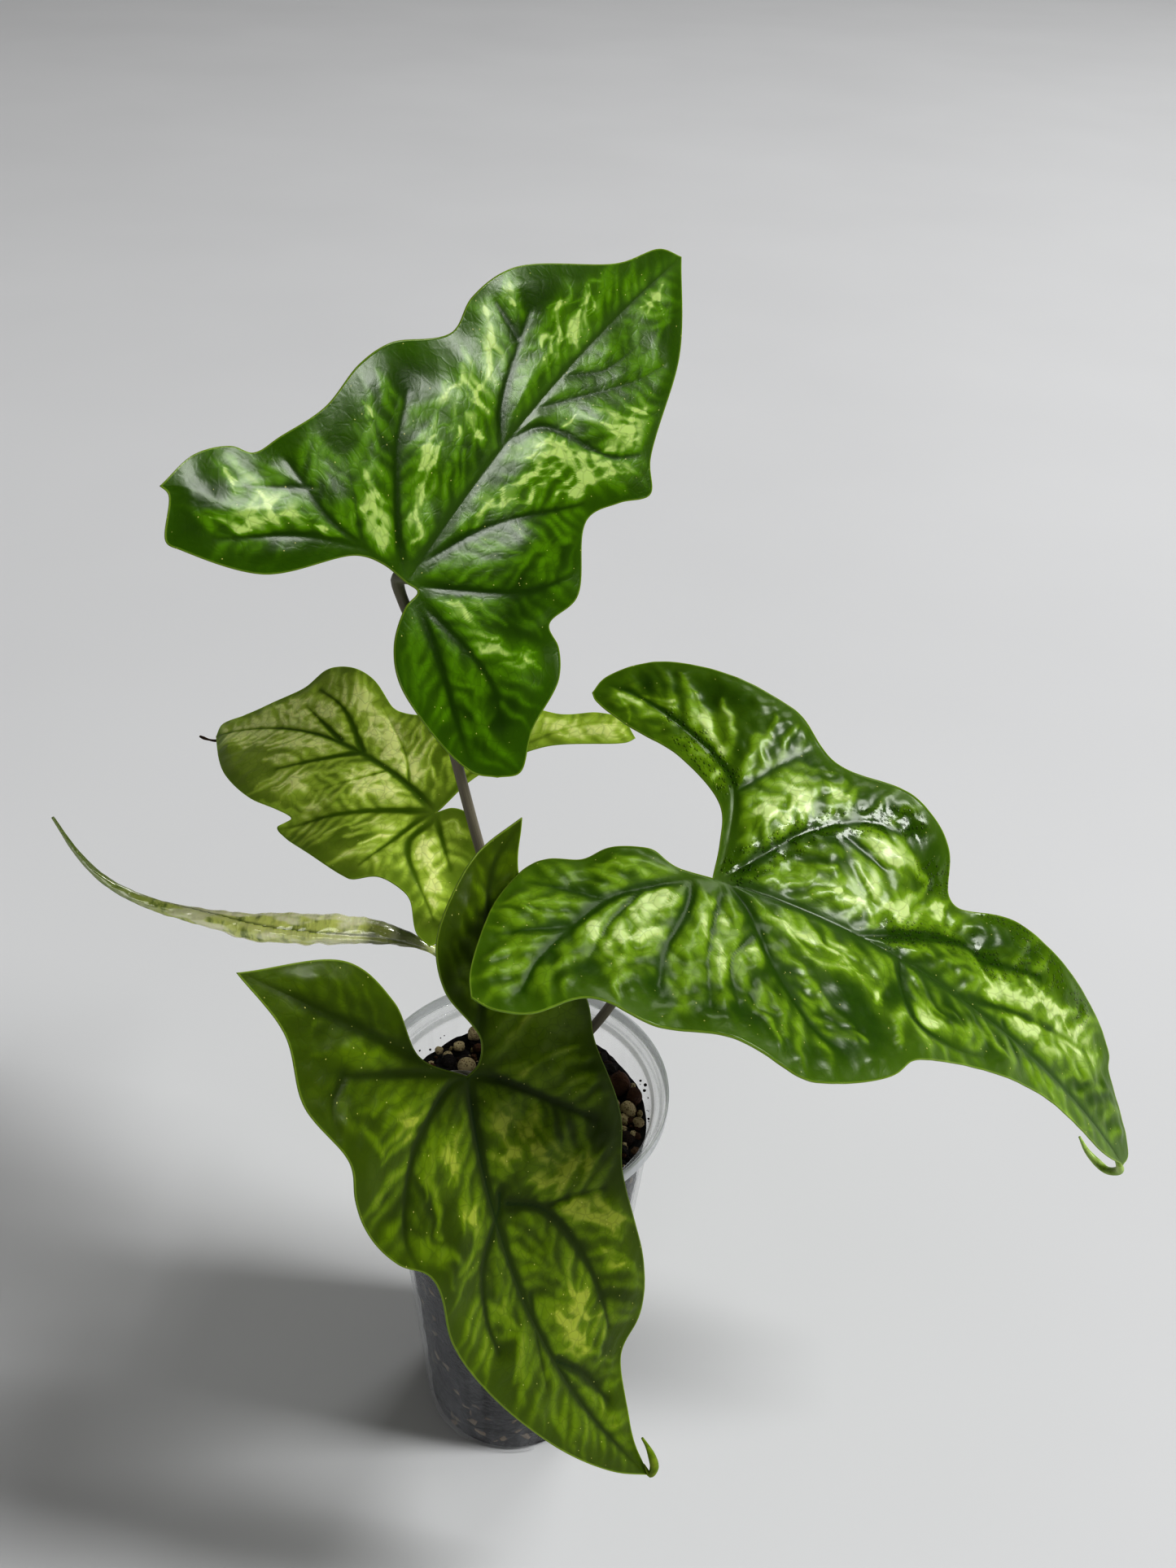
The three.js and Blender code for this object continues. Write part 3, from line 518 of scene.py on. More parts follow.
def put_values(mesh, key, array):
    """Stores one number or one vector a vertex for the material to read."""
    if array.ndim == 2:
        mesh.attributes.new(key, "FLOAT_VECTOR", "POINT").data.foreach_set("vector", array.ravel())
    else:
        mesh.attributes.new(key, "FLOAT", "POINT").data.foreach_set("value", array)


def finish_mesh(mesh, material, sharp):
    """Gives the mesh its material and smooth shading, with creases past an angle."""
    mesh.materials.clear()
    mesh.materials.append(material)
    mesh.shade_smooth()
    if sharp is not None:
        mesh.set_sharp_from_angle(angle=math.radians(sharp))


def join_shells(shells):
    """Stacks several point, face and value sets into one."""
    points, faces, values, offset = [], [], {}, 0
    for shell_points, shell_faces, shell_values in shells:
        points.append(shell_points)
        faces.append(shell_faces + offset)
        offset += len(shell_points)
        for key, array in shell_values.items():
            values.setdefault(key, []).append(array)
    joined = {key: np.concatenate(arrays) for key, arrays in values.items()}
    return np.vstack(points), np.vstack(faces), joined


def turned(profile, sides):
    """A profile of radius and height turned about +Z: (r cos a, r sin a, z) for each angle a."""
    profile = np.asarray(profile, float)
    angles = np.linspace(0, 2 * np.pi, sides, endpoint=False)
    r, z = profile[:, None, 0], profile[:, None, 1]
    points = np.stack([r * np.cos(angles), r * np.sin(angles), z + 0 * angles], axis=-1)
    return points.reshape(-1, 3), grid_faces(len(profile), sides, wrap=True)


def path_frames(path):
    """Two unit vectors square to a path at each point, the first near the path's own plane."""
    ahead = np.gradient(path, axis=0)
    ahead /= np.linalg.norm(ahead, axis=1, keepdims=True)
    flat = np.linalg.svd(path - path.mean(axis=0))[2][2]
    first = np.cross(flat, ahead)
    first /= np.linalg.norm(first, axis=1, keepdims=True)
    return first, np.cross(ahead, first)


def swept(path, radii, sides):
    """A tube: rings of a given radius square to the path, or radii per ring and angle.

    Point = centre + r (cos a first + sin a second). Each end closes
    flat, by faces from its ring to the path's own end.
    """
    first, second = path_frames(path)
    angles = np.linspace(0, 2 * np.pi, sides, endpoint=False)
    radii = np.asarray(radii, float)
    radii = radii if radii.ndim == 2 else np.repeat(radii[:, None], sides, axis=1)
    ring = (first[:, None] * np.cos(angles)[None, :, None]
            + second[:, None] * np.sin(angles)[None, :, None])
    skin = path[:, None] + radii[..., None] * ring
    ends = [np.repeat(path[:1, None], sides, axis=1), np.repeat(path[-1:, None], sides, axis=1)]
    skin = np.concatenate([ends[0], skin, ends[1]])
    return skin.reshape(-1, 3), grid_faces(len(path) + 2, sides, wrap=True)


# Materials


class Shader:
    """A material's node tree, with a short call for each kind of node used here."""

    def __init__(self, name):
        self.material = bpy.data.materials.new(name)
        self.material.use_nodes = True
        self.tree = self.material.node_tree
        self.surface = self.tree.nodes["Principled BSDF"]

    def node(self, kind, inputs=None, **settings):
        node = self.tree.nodes.new("ShaderNode" + kind)
        for key, value in settings.items():
            setattr(node, key, value)
        for key, value in (inputs or {}).items():
            self.put(node.inputs[key], value)
        return node

    def put(self, socket, value):
        if isinstance(value, bpy.types.NodeSocket):
            self.tree.links.new(value, socket)
        else:
            socket.default_value = value

    def place(self):
        return self.node("TexCoord").outputs["Object"]

    def number(self, name):
        return self.node("Attribute", attribute_name=name).outputs["Fac"]

    def vector(self, name):
        return self.node("Attribute", attribute_name=name).outputs["Vector"]

    def scaled(self, vector, scale):
        return self.node("Mapping", {"Vector": vector, "Scale": scale}).outputs["Vector"]

    def noise(self, vector, scale, detail=2.0, roughness=0.5):
        inputs = {"Vector": vector, "Scale": scale, "Detail": detail, "Roughness": roughness}
        return self.node("TexNoise", inputs).outputs["Fac"]

    def cells(self, vector, scale, output="Distance", **settings):
        inputs = {"Vector": vector, "Scale": scale}
        return self.node("TexVoronoi", inputs, **settings).outputs[output]

    def bent(self, vector, scale, reach):
        """The vector pushed about by soft noise of a given scale."""
        inputs = {"Vector": vector, "Scale": scale, "Detail": 1.0}
        push = self.node("TexNoise", inputs).outputs["Color"]
        inputs = {"Vector": push, "Location": (-0.5 * reach,) * 3, "Scale": (reach,) * 3}
        moved = self.node("Mapping", inputs).outputs["Vector"]
        node = self.node("VectorMath", operation="ADD")
        self.put(node.inputs[0], vector)
        self.put(node.inputs[1], moved)
        return node.outputs[0]

    def calc(self, kind, first, second=0.0, clamp=False):
        node = self.node("Math", operation=kind, use_clamp=clamp)
        self.put(node.inputs[0], first)
        self.put(node.inputs[1], second)
        return node.outputs[0]

    def plus(self, first, second, clamp=False):
        return self.calc("ADD", first, second, clamp)

    def times(self, first, second):
        return self.calc("MULTIPLY", first, second)

    def radius(self, vector):
        """Distance of each place from the upright axis."""
        node = self.node("VectorMath", operation="LENGTH")
        self.put(node.inputs[0], self.scaled(vector, (1.0, 1.0, 0.0)))
        return node.outputs["Value"]

    def step(self, value, low, high, out_low=0.0, out_high=1.0):
        inputs = {
            "Value": value, "From Min": low, "From Max": high,
            "To Min": out_low, "To Max": out_high,
        }
        return self.node("MapRange", inputs, interpolation_type="SMOOTHSTEP").outputs["Result"]

    def mix(self, share, first, second, blend="MIX"):
        node = self.node("Mix", data_type="RGBA", blend_type=blend)
        self.put(node.inputs["Factor"], share)
        self.put(node.inputs[6], first)
        self.put(node.inputs[7], second)
        return node.outputs[2]

    def bump(self, height, depth_mm, under=None):
        inputs = {"Height": height, "Distance": depth_mm * MM, "Strength": 1.0}
        if under is not None:
            inputs["Normal"] = under
        return self.node("Bump", inputs).outputs["Normal"]

    def finish(self, **inputs):
        for key, value in inputs.items():
            self.put(self.surface.inputs[key.replace("_", " ")], value)
        return self.material


def tone(red, green, blue):
    """A colour given as 0 to 255 on a screen, as the linear numbers that a shader takes."""
    parts = [part / 255 for part in (red, green, blue)]
    linear = [
        part / 12.92 if part <= 0.04045 else ((part + 0.055) / 1.055) ** 2.4 for part in parts]
    return (*linear, 1.0)


def rgba(colour):
    """A setting's colour with full cover added."""
    return (*colour[:3], 1.0)


def blade_material(leaf, deep, bright, cream):
    """Deep green along the veins, brighter between them, cream streaks, a pale margin and pale
    specks.
    """
    s = Shader(leaf["name"] + "_leaf_skin")
    place = s.vector("leaf_place")
    gap, rim, under = s.number("vein_gap"), s.number("rim_gap"), s.number("under")
    between, streak, midrib = s.number("between"), s.number("streak"), s.number("midrib_gap")
    patch = s.noise(place, 0.055, 2.0)
    feather = s.noise(place, 0.22, 2.0, 0.5)
    fine = s.noise(place, 0.9, 3.0, 0.6)
    net = s.cells(s.bent(place, 0.2, 2.5), 0.28, feature="DISTANCE_TO_EDGE")
    rib = s.times(s.number("rib"), s.step(feather, 0.3, 0.6, 0.7, 1.0))
    shade = s.step(rib, 0.0, 0.8, 1 - leaf["ribs"], 1.0)
    pale = s.plus(s.times(streak, 0.85), s.times(s.number("glow"), 0.42))
    pale = s.times(s.times(pale, shade), s.step(feather, 0.3, 0.6, 0.85, 1.1))
    thin = s.times(s.times(rib, leaf["mottle"]), s.step(patch, 0.35, 0.6, 0.5, 1.0))
    pale = s.plus(pale, thin)
    pale = s.plus(pale, s.step(patch, 0.3, 0.7, -0.04, 0.12))
    pale = s.plus(pale, s.number("light"))
    pale = s.times(pale, s.step(between, 0.1, 0.9, 0.0, 1.0))
    pale = s.times(pale, s.step(rim, 0.5, 6.0, 0.5, 1.0))
    skin = s.mix(s.step(pale, 0.02, 0.55), deep, bright)
    skin = s.mix(s.step(pale, 0.45, 1.05), skin, cream)
    skin = s.mix(s.step(net, 0.0, 0.1, 0.2, 0.0), skin, deep)
    skin = s.mix(s.step(gap, 0.1, 0.9, leaf["line"], 0.0), skin, tone(14, 40, 2))
    # The midrib's paler grey green: partly its own colour, partly a painted sheen
    skin = s.mix(s.step(midrib, 0.5, 5.0, leaf["rib_pale_and_sheen"], 0.0), skin, tone(84, 112, 50))
    skin = s.mix(s.step(rim, 0.0, 9.0, 0.25, 0.0), skin, bright)
    skin = s.mix(s.step(rim, 0.15, 0.5, 0.4, 0.0), skin, tone(150, 170, 70))
    # Pale yellow specks scattered over the skin
    dust = s.cells(place, 0.3, feature="F1")
    skin = s.mix(s.step(dust, 0.04, 0.08, 0.6, 0.0), skin, tone(206, 200, 130))
    pale_back = s.mix(0.55, skin, tone(134, 160, 92))
    skin = s.mix(under, skin, pale_back)
    skin = s.mix(s.number("dry"), skin, tone(58, 44, 30))
    gloss = s.plus(s.times(fine, 0.12), leaf["gloss"] - 0.05)
    gloss = s.plus(gloss, s.times(under, 0.2))
    texture = s.plus(s.step(net, 0.0, 0.2), fine)
    normal = s.bump(texture, 0.015, s.bump(feather, 0.08))
    if leaf["damp"]:
        wet = s.times(s.number("damp"), s.step(s.noise(place, 0.12, 2.0), 0.35, 0.55))
        drops = s.step(s.cells(place, 0.8, feature="F1"), 0.12, 0.4, 1.0, 0.0)
        wet = s.times(s.step(wet, 0.2, 0.6), s.calc("SUBTRACT", 1.0, under))
        drops = s.times(drops, wet)
        normal = s.bump(drops, 0.5, normal)
        gloss = s.mix(wet, gloss, (0.08, 0.08, 0.08, 1.0))
    return s.finish(
        Base_Color=skin, Roughness=gloss, Normal=normal, Subsurface_Weight=0.25,
        Subsurface_Radius=(0.9, 1.5, 0.2), Subsurface_Scale=MM, Coat_Weight=leaf["coat"],
        Coat_Roughness=0.2, Specular_IOR_Level=0.15,
    )


def plastic_material(colour):
    """Clear plastic with a light haze: thin face on, denser where the wall turns away.

    Three thin milky rings of painted highlight run round the rim, each at its own distance
    from the pot's axis.
    """
    s = Shader("clear_pot_plastic")
    place = s.place()
    haze = s.noise(s.scaled(place, (260.0, 260.0, 9.0)), 1.0, 3.0, 0.6)
    smear = s.noise(place, 45.0, 4.0, 0.6)
    edge = s.node("LayerWeight", {"Blend": 0.35}).outputs["Facing"]
    cover = s.times(s.calc("POWER", edge, 3.0), 0.5)
    cover = s.plus(cover, s.step(s.times(haze, smear), 0.15, 0.45, 0.0, 0.05), clamp=True)
    height = s.node("SeparateXYZ", {"Vector": place}).outputs["Z"]
    rim = s.step(height, (WALL_TOP_HEIGHT - 1) * MM, (WALL_TOP_HEIGHT + 1) * MM)
    radius = s.radius(place)
    # Painted highlights: milky rings along the rim's edges, on a faint haze over the whole rim
    rings = 0.12
    for inset, width, share in RIM_HIGHLIGHT_RINGS:
        off = s.calc("ABSOLUTE", s.calc("SUBTRACT", radius, (RIM_RADIUS - inset) * MM))
        rings = s.calc("MAXIMUM", rings, s.step(off, 0.3 * width * MM, width * MM, share, 0.0))
    cover = s.plus(cover, s.times(rim, rings), clamp=True)
    rough = s.step(smear, 0.3, 0.7, 0.16, 0.3)
    normal = s.bump(haze, 0.05)
    return s.finish(
        Base_Color=colour, Alpha=cover, Roughness=rough, Normal=normal, Coat_Weight=0.4, IOR=1.49)


def mix_material(bark, pumice):
    """Crumbs from near black bark through brown chips to tan pumice, by each grain's own tone."""
    s = Shader("potting_mix_crumbs")
    place, grain = s.place(), s.number("grain")
    blotch = s.noise(place, 420.0, 4.0, 0.65)
    pores = s.cells(place, 1500.0, feature="F1")
    dark = s.mix(blotch, bark, tone(48, 40, 38))
    brown = s.mix(blotch, tone(58, 34, 26), tone(112, 78, 58))
    light = s.mix(s.step(pores, 0.1, 0.5), tone(120, 100, 76), pumice)
    body = s.mix(s.step(grain, 0.15, 0.35), dark, brown)
    body = s.mix(s.step(grain, 0.55, 0.75), body, light)
    relief = s.plus(blotch, s.times(pores, 0.6))
    rough = s.step(blotch, 0.3, 0.7, 0.7, 0.95)
    return s.finish(Base_Color=body, Roughness=rough, Normal=s.bump(relief, 0.5))


def packed_mix_material(bark):
    """The mix pressed against the wall: dark crumbs with purple grey dust and a few pale grains."""
    s = Shader("potting_mix_body")
    place = s.place()
    crumbs = s.node("TexVoronoi", {"Vector": place, "Scale": 330.0}, feature="F1")
    shaded_gaps = s.cells(place, 330.0, feature="DISTANCE_TO_EDGE")
    cloud = s.noise(place, 60.0, 4.0, 0.6)
    drawn = s.node("SeparateColor", {"Color": crumbs.outputs["Color"]}).outputs
    shade = s.mix(drawn[0], bark, tone(44, 40, 42))
    shade = s.mix(s.step(cloud, 0.35, 0.75, 0.0, 0.6), shade, tone(34, 31, 35))
    shade = s.mix(s.step(drawn[1], 0.93, 0.97, 0.0, 0.6), shade, tone(150, 132, 106))
    # Painted shade: the gaps between crumbs go near black
    shade = s.mix(s.step(shaded_gaps, 0.0, 0.12, 0.85, 0.0), shade, tone(14, 11, 12))
    relief = s.plus(s.step(shaded_gaps, 0.0, 0.3), s.times(cloud, 0.4))
    rough = s.step(cloud, 0.3, 0.7, 0.75, 0.95)
    return s.finish(Base_Color=shade, Roughness=rough, Normal=s.bump(relief, 0.8))


def stem_material():
    """Short stem: olive brown with darker rings and dry flecks."""
    s = Shader("stem_bark")
    place = s.place()
    rings = s.noise(s.scaled(place, (40.0, 40.0, 420.0)), 1.0, 3.0)
    fleck = s.noise(place, 500.0, 4.0, 0.65)
    skin = s.mix(rings, tone(70, 66, 34), tone(128, 120, 78))
    skin = s.mix(s.step(fleck, 0.55, 0.75, 0.0, 0.7), skin, tone(74, 58, 44))
    rough = s.step(fleck, 0.3, 0.7, 0.55, 0.8)
    return s.finish(Base_Color=skin, Roughness=rough, Normal=s.bump(s.plus(rings, fleck), 0.3))


def petiole_material(colour):
    """Grey brown stalk with fine lengthwise lines, greener near the stem and the neck."""
    s = Shader("petiole_skin")
    stalk, share = s.vector("stalk"), s.number("stalk_share")
    lines = s.noise(s.scaled(stalk, (2.2, 0.05, 1.0)), 1.0, 4.0, 0.6)
    fleck = s.noise(stalk, 1.4, 3.0, 0.6)
    skin = s.mix(lines, colour, tone(136, 130, 112))
    skin = s.mix(s.step(share, 0.0, 0.25, 0.6, 0.0), skin, tone(96, 108, 56))
    skin = s.mix(s.step(share, 0.88, 1.0, 0.0, 0.6), skin, tone(74, 84, 50))
    skin = s.mix(s.step(fleck, 0.62, 0.74, 0.0, 0.5), skin, tone(52, 46, 40))
    rough = s.step(lines, 0.3, 0.7, 0.42, 0.6)
    return s.finish(Base_Color=skin, Roughness=rough, Normal=s.bump(lines, 0.12), Coat_Weight=0.1)


def new_leaf_material(colour):
    """Pale yellow green roll with crosswise green mottling, a light edge and a dark stretch."""
    s = Shader("new_leaf_skin")
    roll, share, edge = s.vector("stalk"), s.number("stalk_share"), s.number("roll_edge")
    bands = s.noise(s.scaled(roll, (0.22, 0.3, 1.0)), 1.0, 4.0, 0.6)
    cream_and_highlight = s.noise(s.scaled(roll, (0.25, 0.07, 1.0)), 1.0, 2.0)
    skin = s.mix(s.step(bands, 0.46, 0.66, 0.0, 0.8), colour, tone(104, 126, 34))
    # Near-white patches: partly the roll's own cream, partly a painted highlight
    skin = s.mix(s.step(cream_and_highlight, 0.44, 0.56, 0.0, 0.9), skin, tone(252, 252, 212))
    # Painted shade: darker green where the inner turn runs under the rolled lip
    skin = s.mix(s.step(edge, 0.0, 0.05, 0.8, 0.0), skin, tone(60, 82, 20))
    skin = s.mix(s.step(edge, 0.9, 1.0, 0.0, 0.7), skin, tone(222, 226, 160))
    dark = s.times(s.step(share, 0.3, 0.33), s.step(share, 0.4, 0.43, 1.0, 0.0))
    skin = s.mix(s.times(dark, 0.75), skin, tone(66, 74, 34))
    skin = s.mix(s.step(share, 0.62, 0.9, 0.0, 0.85), skin, tone(96, 120, 30))
    skin = s.mix(s.step(share, 0.2, 0.31, 0.85, 0.0), skin, tone(120, 132, 62))
    rough = s.step(bands, 0.3, 0.7, 0.14, 0.26)
    return s.finish(
        Base_Color=skin, Roughness=rough, Normal=s.bump(bands, 0.7), Coat_Weight=1.0,
        Coat_Roughness=0.1, Coat_IOR=1.8,
        Subsurface_Weight=0.15, Subsurface_Radius=(1.2, 1.5, 0.5), Subsurface_Scale=MM,
    )


def floor_material():
    """Plain pale floor with a faint cloud."""
    s = Shader("pale_floor")
    cloud = s.noise(s.place(), 3.0, 3.0)
    shade = s.mix(cloud, tone(206, 207, 208), tone(214, 215, 216))
    return s.finish(Base_Color=shade, Roughness=0.85)


# Pot


def wall_radius(z):
    """Outer radius of the pot's sloping wall at a height."""
    slope = (WALL_TOP_RADIUS - FOOT_RADIUS) / (WALL_TOP_HEIGHT - FOOT_CHAMFER)
    return FOOT_RADIUS + (z - FOOT_CHAMFER) * slope


def inner_radius(z):
    """Radius of the wall's inner face at a height."""
    return wall_radius(z) - WALL_THICKNESS


def round_corner(profile, radius, steps=3):
    """A profile whose inner corners are cut back by a short arc-like curve through each corner."""
    profile = np.asarray(profile, float)
    ahead, behind = profile[2:] - profile[1:-1], profile[:-2] - profile[1:-1]
    reach = np.minimum(np.linalg.norm(ahead, axis=1), np.linalg.norm(behind, axis=1))
    cut = np.minimum(radius, reach * 0.4)[:, None]
    leave = profile[1:-1] + ahead / np.linalg.norm(ahead, axis=1)[:, None] * cut
    enter = profile[1:-1] + behind / np.linalg.norm(behind, axis=1)[:, None] * cut
    t = np.linspace(0, 1, steps + 1)[None, :, None]
    arcs = (1 - t) ** 2 * enter[:, None] + 2 * t * (1 - t) * profile[1:-1, None]
    arcs = arcs + t**2 * leave[:, None]
    return np.vstack([profile[:1], arcs.reshape(-1, 2), profile[-1:]])


def pot_profile():
    """Radius and height round the pot's section: from the floor's middle out, up and back in."""
    step = FOOT_STEP_HEIGHT
    outline = [
        (0, 0), (FOOT_RADIUS - FOOT_CHAMFER, 0), (FOOT_RADIUS, FOOT_CHAMFER),
        (wall_radius(step) - 0.1, step), (wall_radius(step) + 0.25, step + 0.5),
        (wall_radius(step) + 0.05, step + 1.4), (WALL_TOP_RADIUS, WALL_TOP_HEIGHT),
        (RIM_RADIUS - 2, WALL_TOP_HEIGHT + 1), (RIM_RADIUS - 1.6, WALL_TOP_HEIGHT + 2.8),
        (RIM_RADIUS, WALL_TOP_HEIGHT + 3.2), (RIM_RADIUS, POT_HEIGHT),
        (RIM_RADIUS - 1.4, POT_HEIGHT), (RIM_RADIUS - 2, POT_HEIGHT - 2.4),
        (RIM_RADIUS - 3.6, POT_HEIGHT - 3), (inner_radius(WALL_TOP_HEIGHT), WALL_TOP_HEIGHT),
        (inner_radius(FLOOR_THICKNESS), FLOOR_THICKNESS), (0, FLOOR_THICKNESS),
    ]
    return round_corner(outline, 0.45)


def cylinder(radius, length, sides=32):
    """A closed cylinder along +Z about the origin."""
    half = length / 2
    return turned([(0, -half), (radius, -half), (radius, half), (0, half)], sides)


def pot_cutters():
    """Half-round notches that cross the foot, and drain holes through the floor, as one mesh."""
    shells = []
    points, faces = cylinder(FOOT_NOTCH_RADIUS, 8)
    for i in range(FOOT_NOTCHES):
        turn = (i + 0.5) / FOOT_NOTCHES * 2 * math.pi
        matrix = Matrix.Rotation(turn, 3, "Z") @ Matrix.Rotation(math.pi / 2, 3, "Y")
        out = on_circle(FOOT_RADIUS, turn, 0)
        shells.append((points @ np.array(matrix).T + out, faces, {}))
    points, faces = cylinder(DRAIN_HOLE_RADIUS, 6)
    for i in range(DRAIN_HOLES):
        turn = i / DRAIN_HOLES * 2 * math.pi
        shells.append((points + on_circle(DRAIN_RING_RADIUS, turn, 0), faces, {}))
    return join_shells(shells)[:2]


def cut_away(piece, cutter):
    """Takes the cutter's shape out of the piece and removes the cutter."""
    modifier = piece.modifiers.new("cut", "BOOLEAN")
    modifier.operation = "DIFFERENCE"
    modifier.solver = "EXACT"
    modifier.object = cutter
    graph = bpy.context.evaluated_depsgraph_get()
    mesh = bpy.data.meshes.new_from_object(piece.evaluated_get(graph))
    piece.modifiers.clear()
    piece.data = mesh
    bpy.data.objects.remove(cutter)


# Potting mix


def unit_crumb(level):
    """Points and triangles of a ball of radius 1 made from a twenty-sided one."""
    shape = bmesh.new()
    bmesh.ops.create_icosphere(shape, subdivisions=level, radius=1.0)
    shape.verts.ensure_lookup_table()
    points = np.array([v.co[:] for v in shape.verts])
    faces = np.array([[v.index for v in f.verts] for f in shape.faces])
    shape.free()
    return points, faces


def crumbs(places, stretch, turns, grains, level, seed):
    """Lumpy balls: unit points pushed in and out, stretched on three axes, turned and placed."""
    ball, faces = unit_crumb(level)
    draw = np.random.default_rng(seed)
    dents = draw.normal(size=(len(places), 3, 3)) * 1.6
    waves = np.sin(np.einsum("nij,vj->nvi", dents, ball) + draw.uniform(0, 6, (len(places), 1, 3)))
    swell = 1 + 0.13 * waves.sum(axis=2) / 1.5
    shaped = ball[None] * swell[..., None] * stretch[:, None]
    points = np.einsum("nij,nvj->nvi", turns, shaped) + places[:, None]
    numbers = faces[None] + np.arange(len(places))[:, None, None] * len(ball)
    values = {"grain": np.repeat(grains, len(ball))}
    return points.reshape(-1, 3), numbers.reshape(-1, 3), values


def any_turns(draw, count):
    """Rotations by seeded angles."""
    return turn_matrices(draw.uniform(0, 6, count), draw.uniform(0, 6, count))


def turn_matrices(about_x, about_z):
    """Rotations about +X, then about +Z."""
    cx, sx, cz, sz = np.cos(about_x), np.sin(about_x), np.cos(about_z), np.sin(about_z)
    zero = np.zeros_like(cx)
    rows = [[cz, -sz * cx, sz * sx], [sz, cz * cx, -cz * sx], [zero, sx, cx]]
    return np.array(rows).transpose(2, 0, 1)


def packed_lumps():
    """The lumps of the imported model, with those that met the stem moved out to lie against it."""
    draw = seeded_random(MIX_SEED)
    drawn = np.array([[draw() for _ in range(6)] for _ in range(MIX_LUMPS)])
    size = LUMP_RADIUS[0] + (LUMP_RADIUS[1] - LUMP_RADIUS[0]) * drawn[:, 0] ** 2
    number = np.arange(MIX_LUMPS)
    reach = (mix_radius(MIX_LEVEL) - size - 1) * np.sqrt((number + 0.5) / MIX_LUMPS)
    reach = np.maximum(reach, STEM_RADIUS + 1.1 * size)
    turn = number * math.pi * (3 - math.sqrt(5))
    height = MIX_LEVEL + 0.15 * size * drawn[:, 5]
    places = round_axis(reach, turn, height)
    shape = np.stack([np.ones(MIX_LUMPS), 0.7 + 0.3 * drawn[:, 1], 0.6 + 0.3 * drawn[:, 2]], axis=1)
    stretch = size[:, None] * shape
    turns = turn_matrices(0.6 * drawn[:, 3], 2 * np.pi * drawn[:, 4])
    grains = np.where(drawn[:, 5] > 0.72, 0.6 + 0.4 * drawn[:, 1], 0.45 * drawn[:, 1])
    return crumbs(places, stretch, turns, grains, 2, CRUMB_SEED)


def small_crumbs(count):
    """Small crumbs scattered evenly over the mix by a seeded draw, about three in ten pale."""
    draw = np.random.default_rng(CRUMB_SEED)
    size = 0.55 + 1.15 * draw.random(count) ** 2
    reach = (mix_radius(MIX_LEVEL) - size - 0.4) * np.sqrt(draw.random(count))
    reach = np.maximum(reach, STEM_RADIUS + 1.5)
    turn = 2 * np.pi * draw.random(count)
    flat = np.stack([reach * np.cos(turn), reach * np.sin(turn)], axis=1)
    height = mix_top(flat) + 0.35 * size
    places = np.column_stack([flat, height])
    stretch = size[:, None] * draw.uniform(0.6, 1.15, (count, 3))
    turns = any_turns(draw, count)
    grains = np.where(
        draw.random(count) > 0.7, draw.uniform(0.6, 1, count), draw.uniform(0, 0.5, count))
    return crumbs(places, stretch, turns, grains, 1, CRUMB_SEED + 1)


def show_grains():
    """The larger single grains, each sunk a little into the mix."""
    table = np.array(SHOW_GRAINS)
    flat, size, grains = table[:, :2], table[:, 2], table[:, 3]
    count = len(table)
    draw = np.random.default_rng(CRUMB_SEED + 2)
    places = np.column_stack([flat, mix_top(flat) + 0.45 * size])
    stretch = size[:, None] * draw.uniform(0.7, 1.0, (count, 3))
    turns = any_turns(draw, count)
    return crumbs(places, stretch, turns, grains, 3, CRUMB_SEED + 3)


def wall_specks():
    """Crumbs stuck to the inside of the wall above the mix, some sunk slightly into it."""
    draw = np.random.default_rng(CRUMB_SEED + 4)
    size = 0.2 + 0.45 * draw.random(WALL_SPECKS) ** 2
    height = MIX_LEVEL + 1 + 6 * draw.random(WALL_SPECKS) ** 1.6
    turn = 2 * np.pi * draw.random(WALL_SPECKS)
    reach = inner_radius(height) - 0.6 * size
    places = round_axis(reach, turn, height)
    stretch = size[:, None] * draw.uniform(0.6, 1.0, (WALL_SPECKS, 3))
    turns = any_turns(draw, WALL_SPECKS)
    return crumbs(places, stretch, turns, np.full(WALL_SPECKS, 0.1), 1, CRUMB_SEED + 5)


def mix_radius(z):
    """Radius of the mix at a height, just inside the pot's wall."""
    return inner_radius(z) - CLEARANCE


def mix_top(flat):
    """Height of the mix's surface: its level plus soft mounds and small crumbs' relief."""
    return MIX_LEVEL + 0.8 * ripples(flat, 21, 31) + 0.35 * ripples(flat, 5, 32)


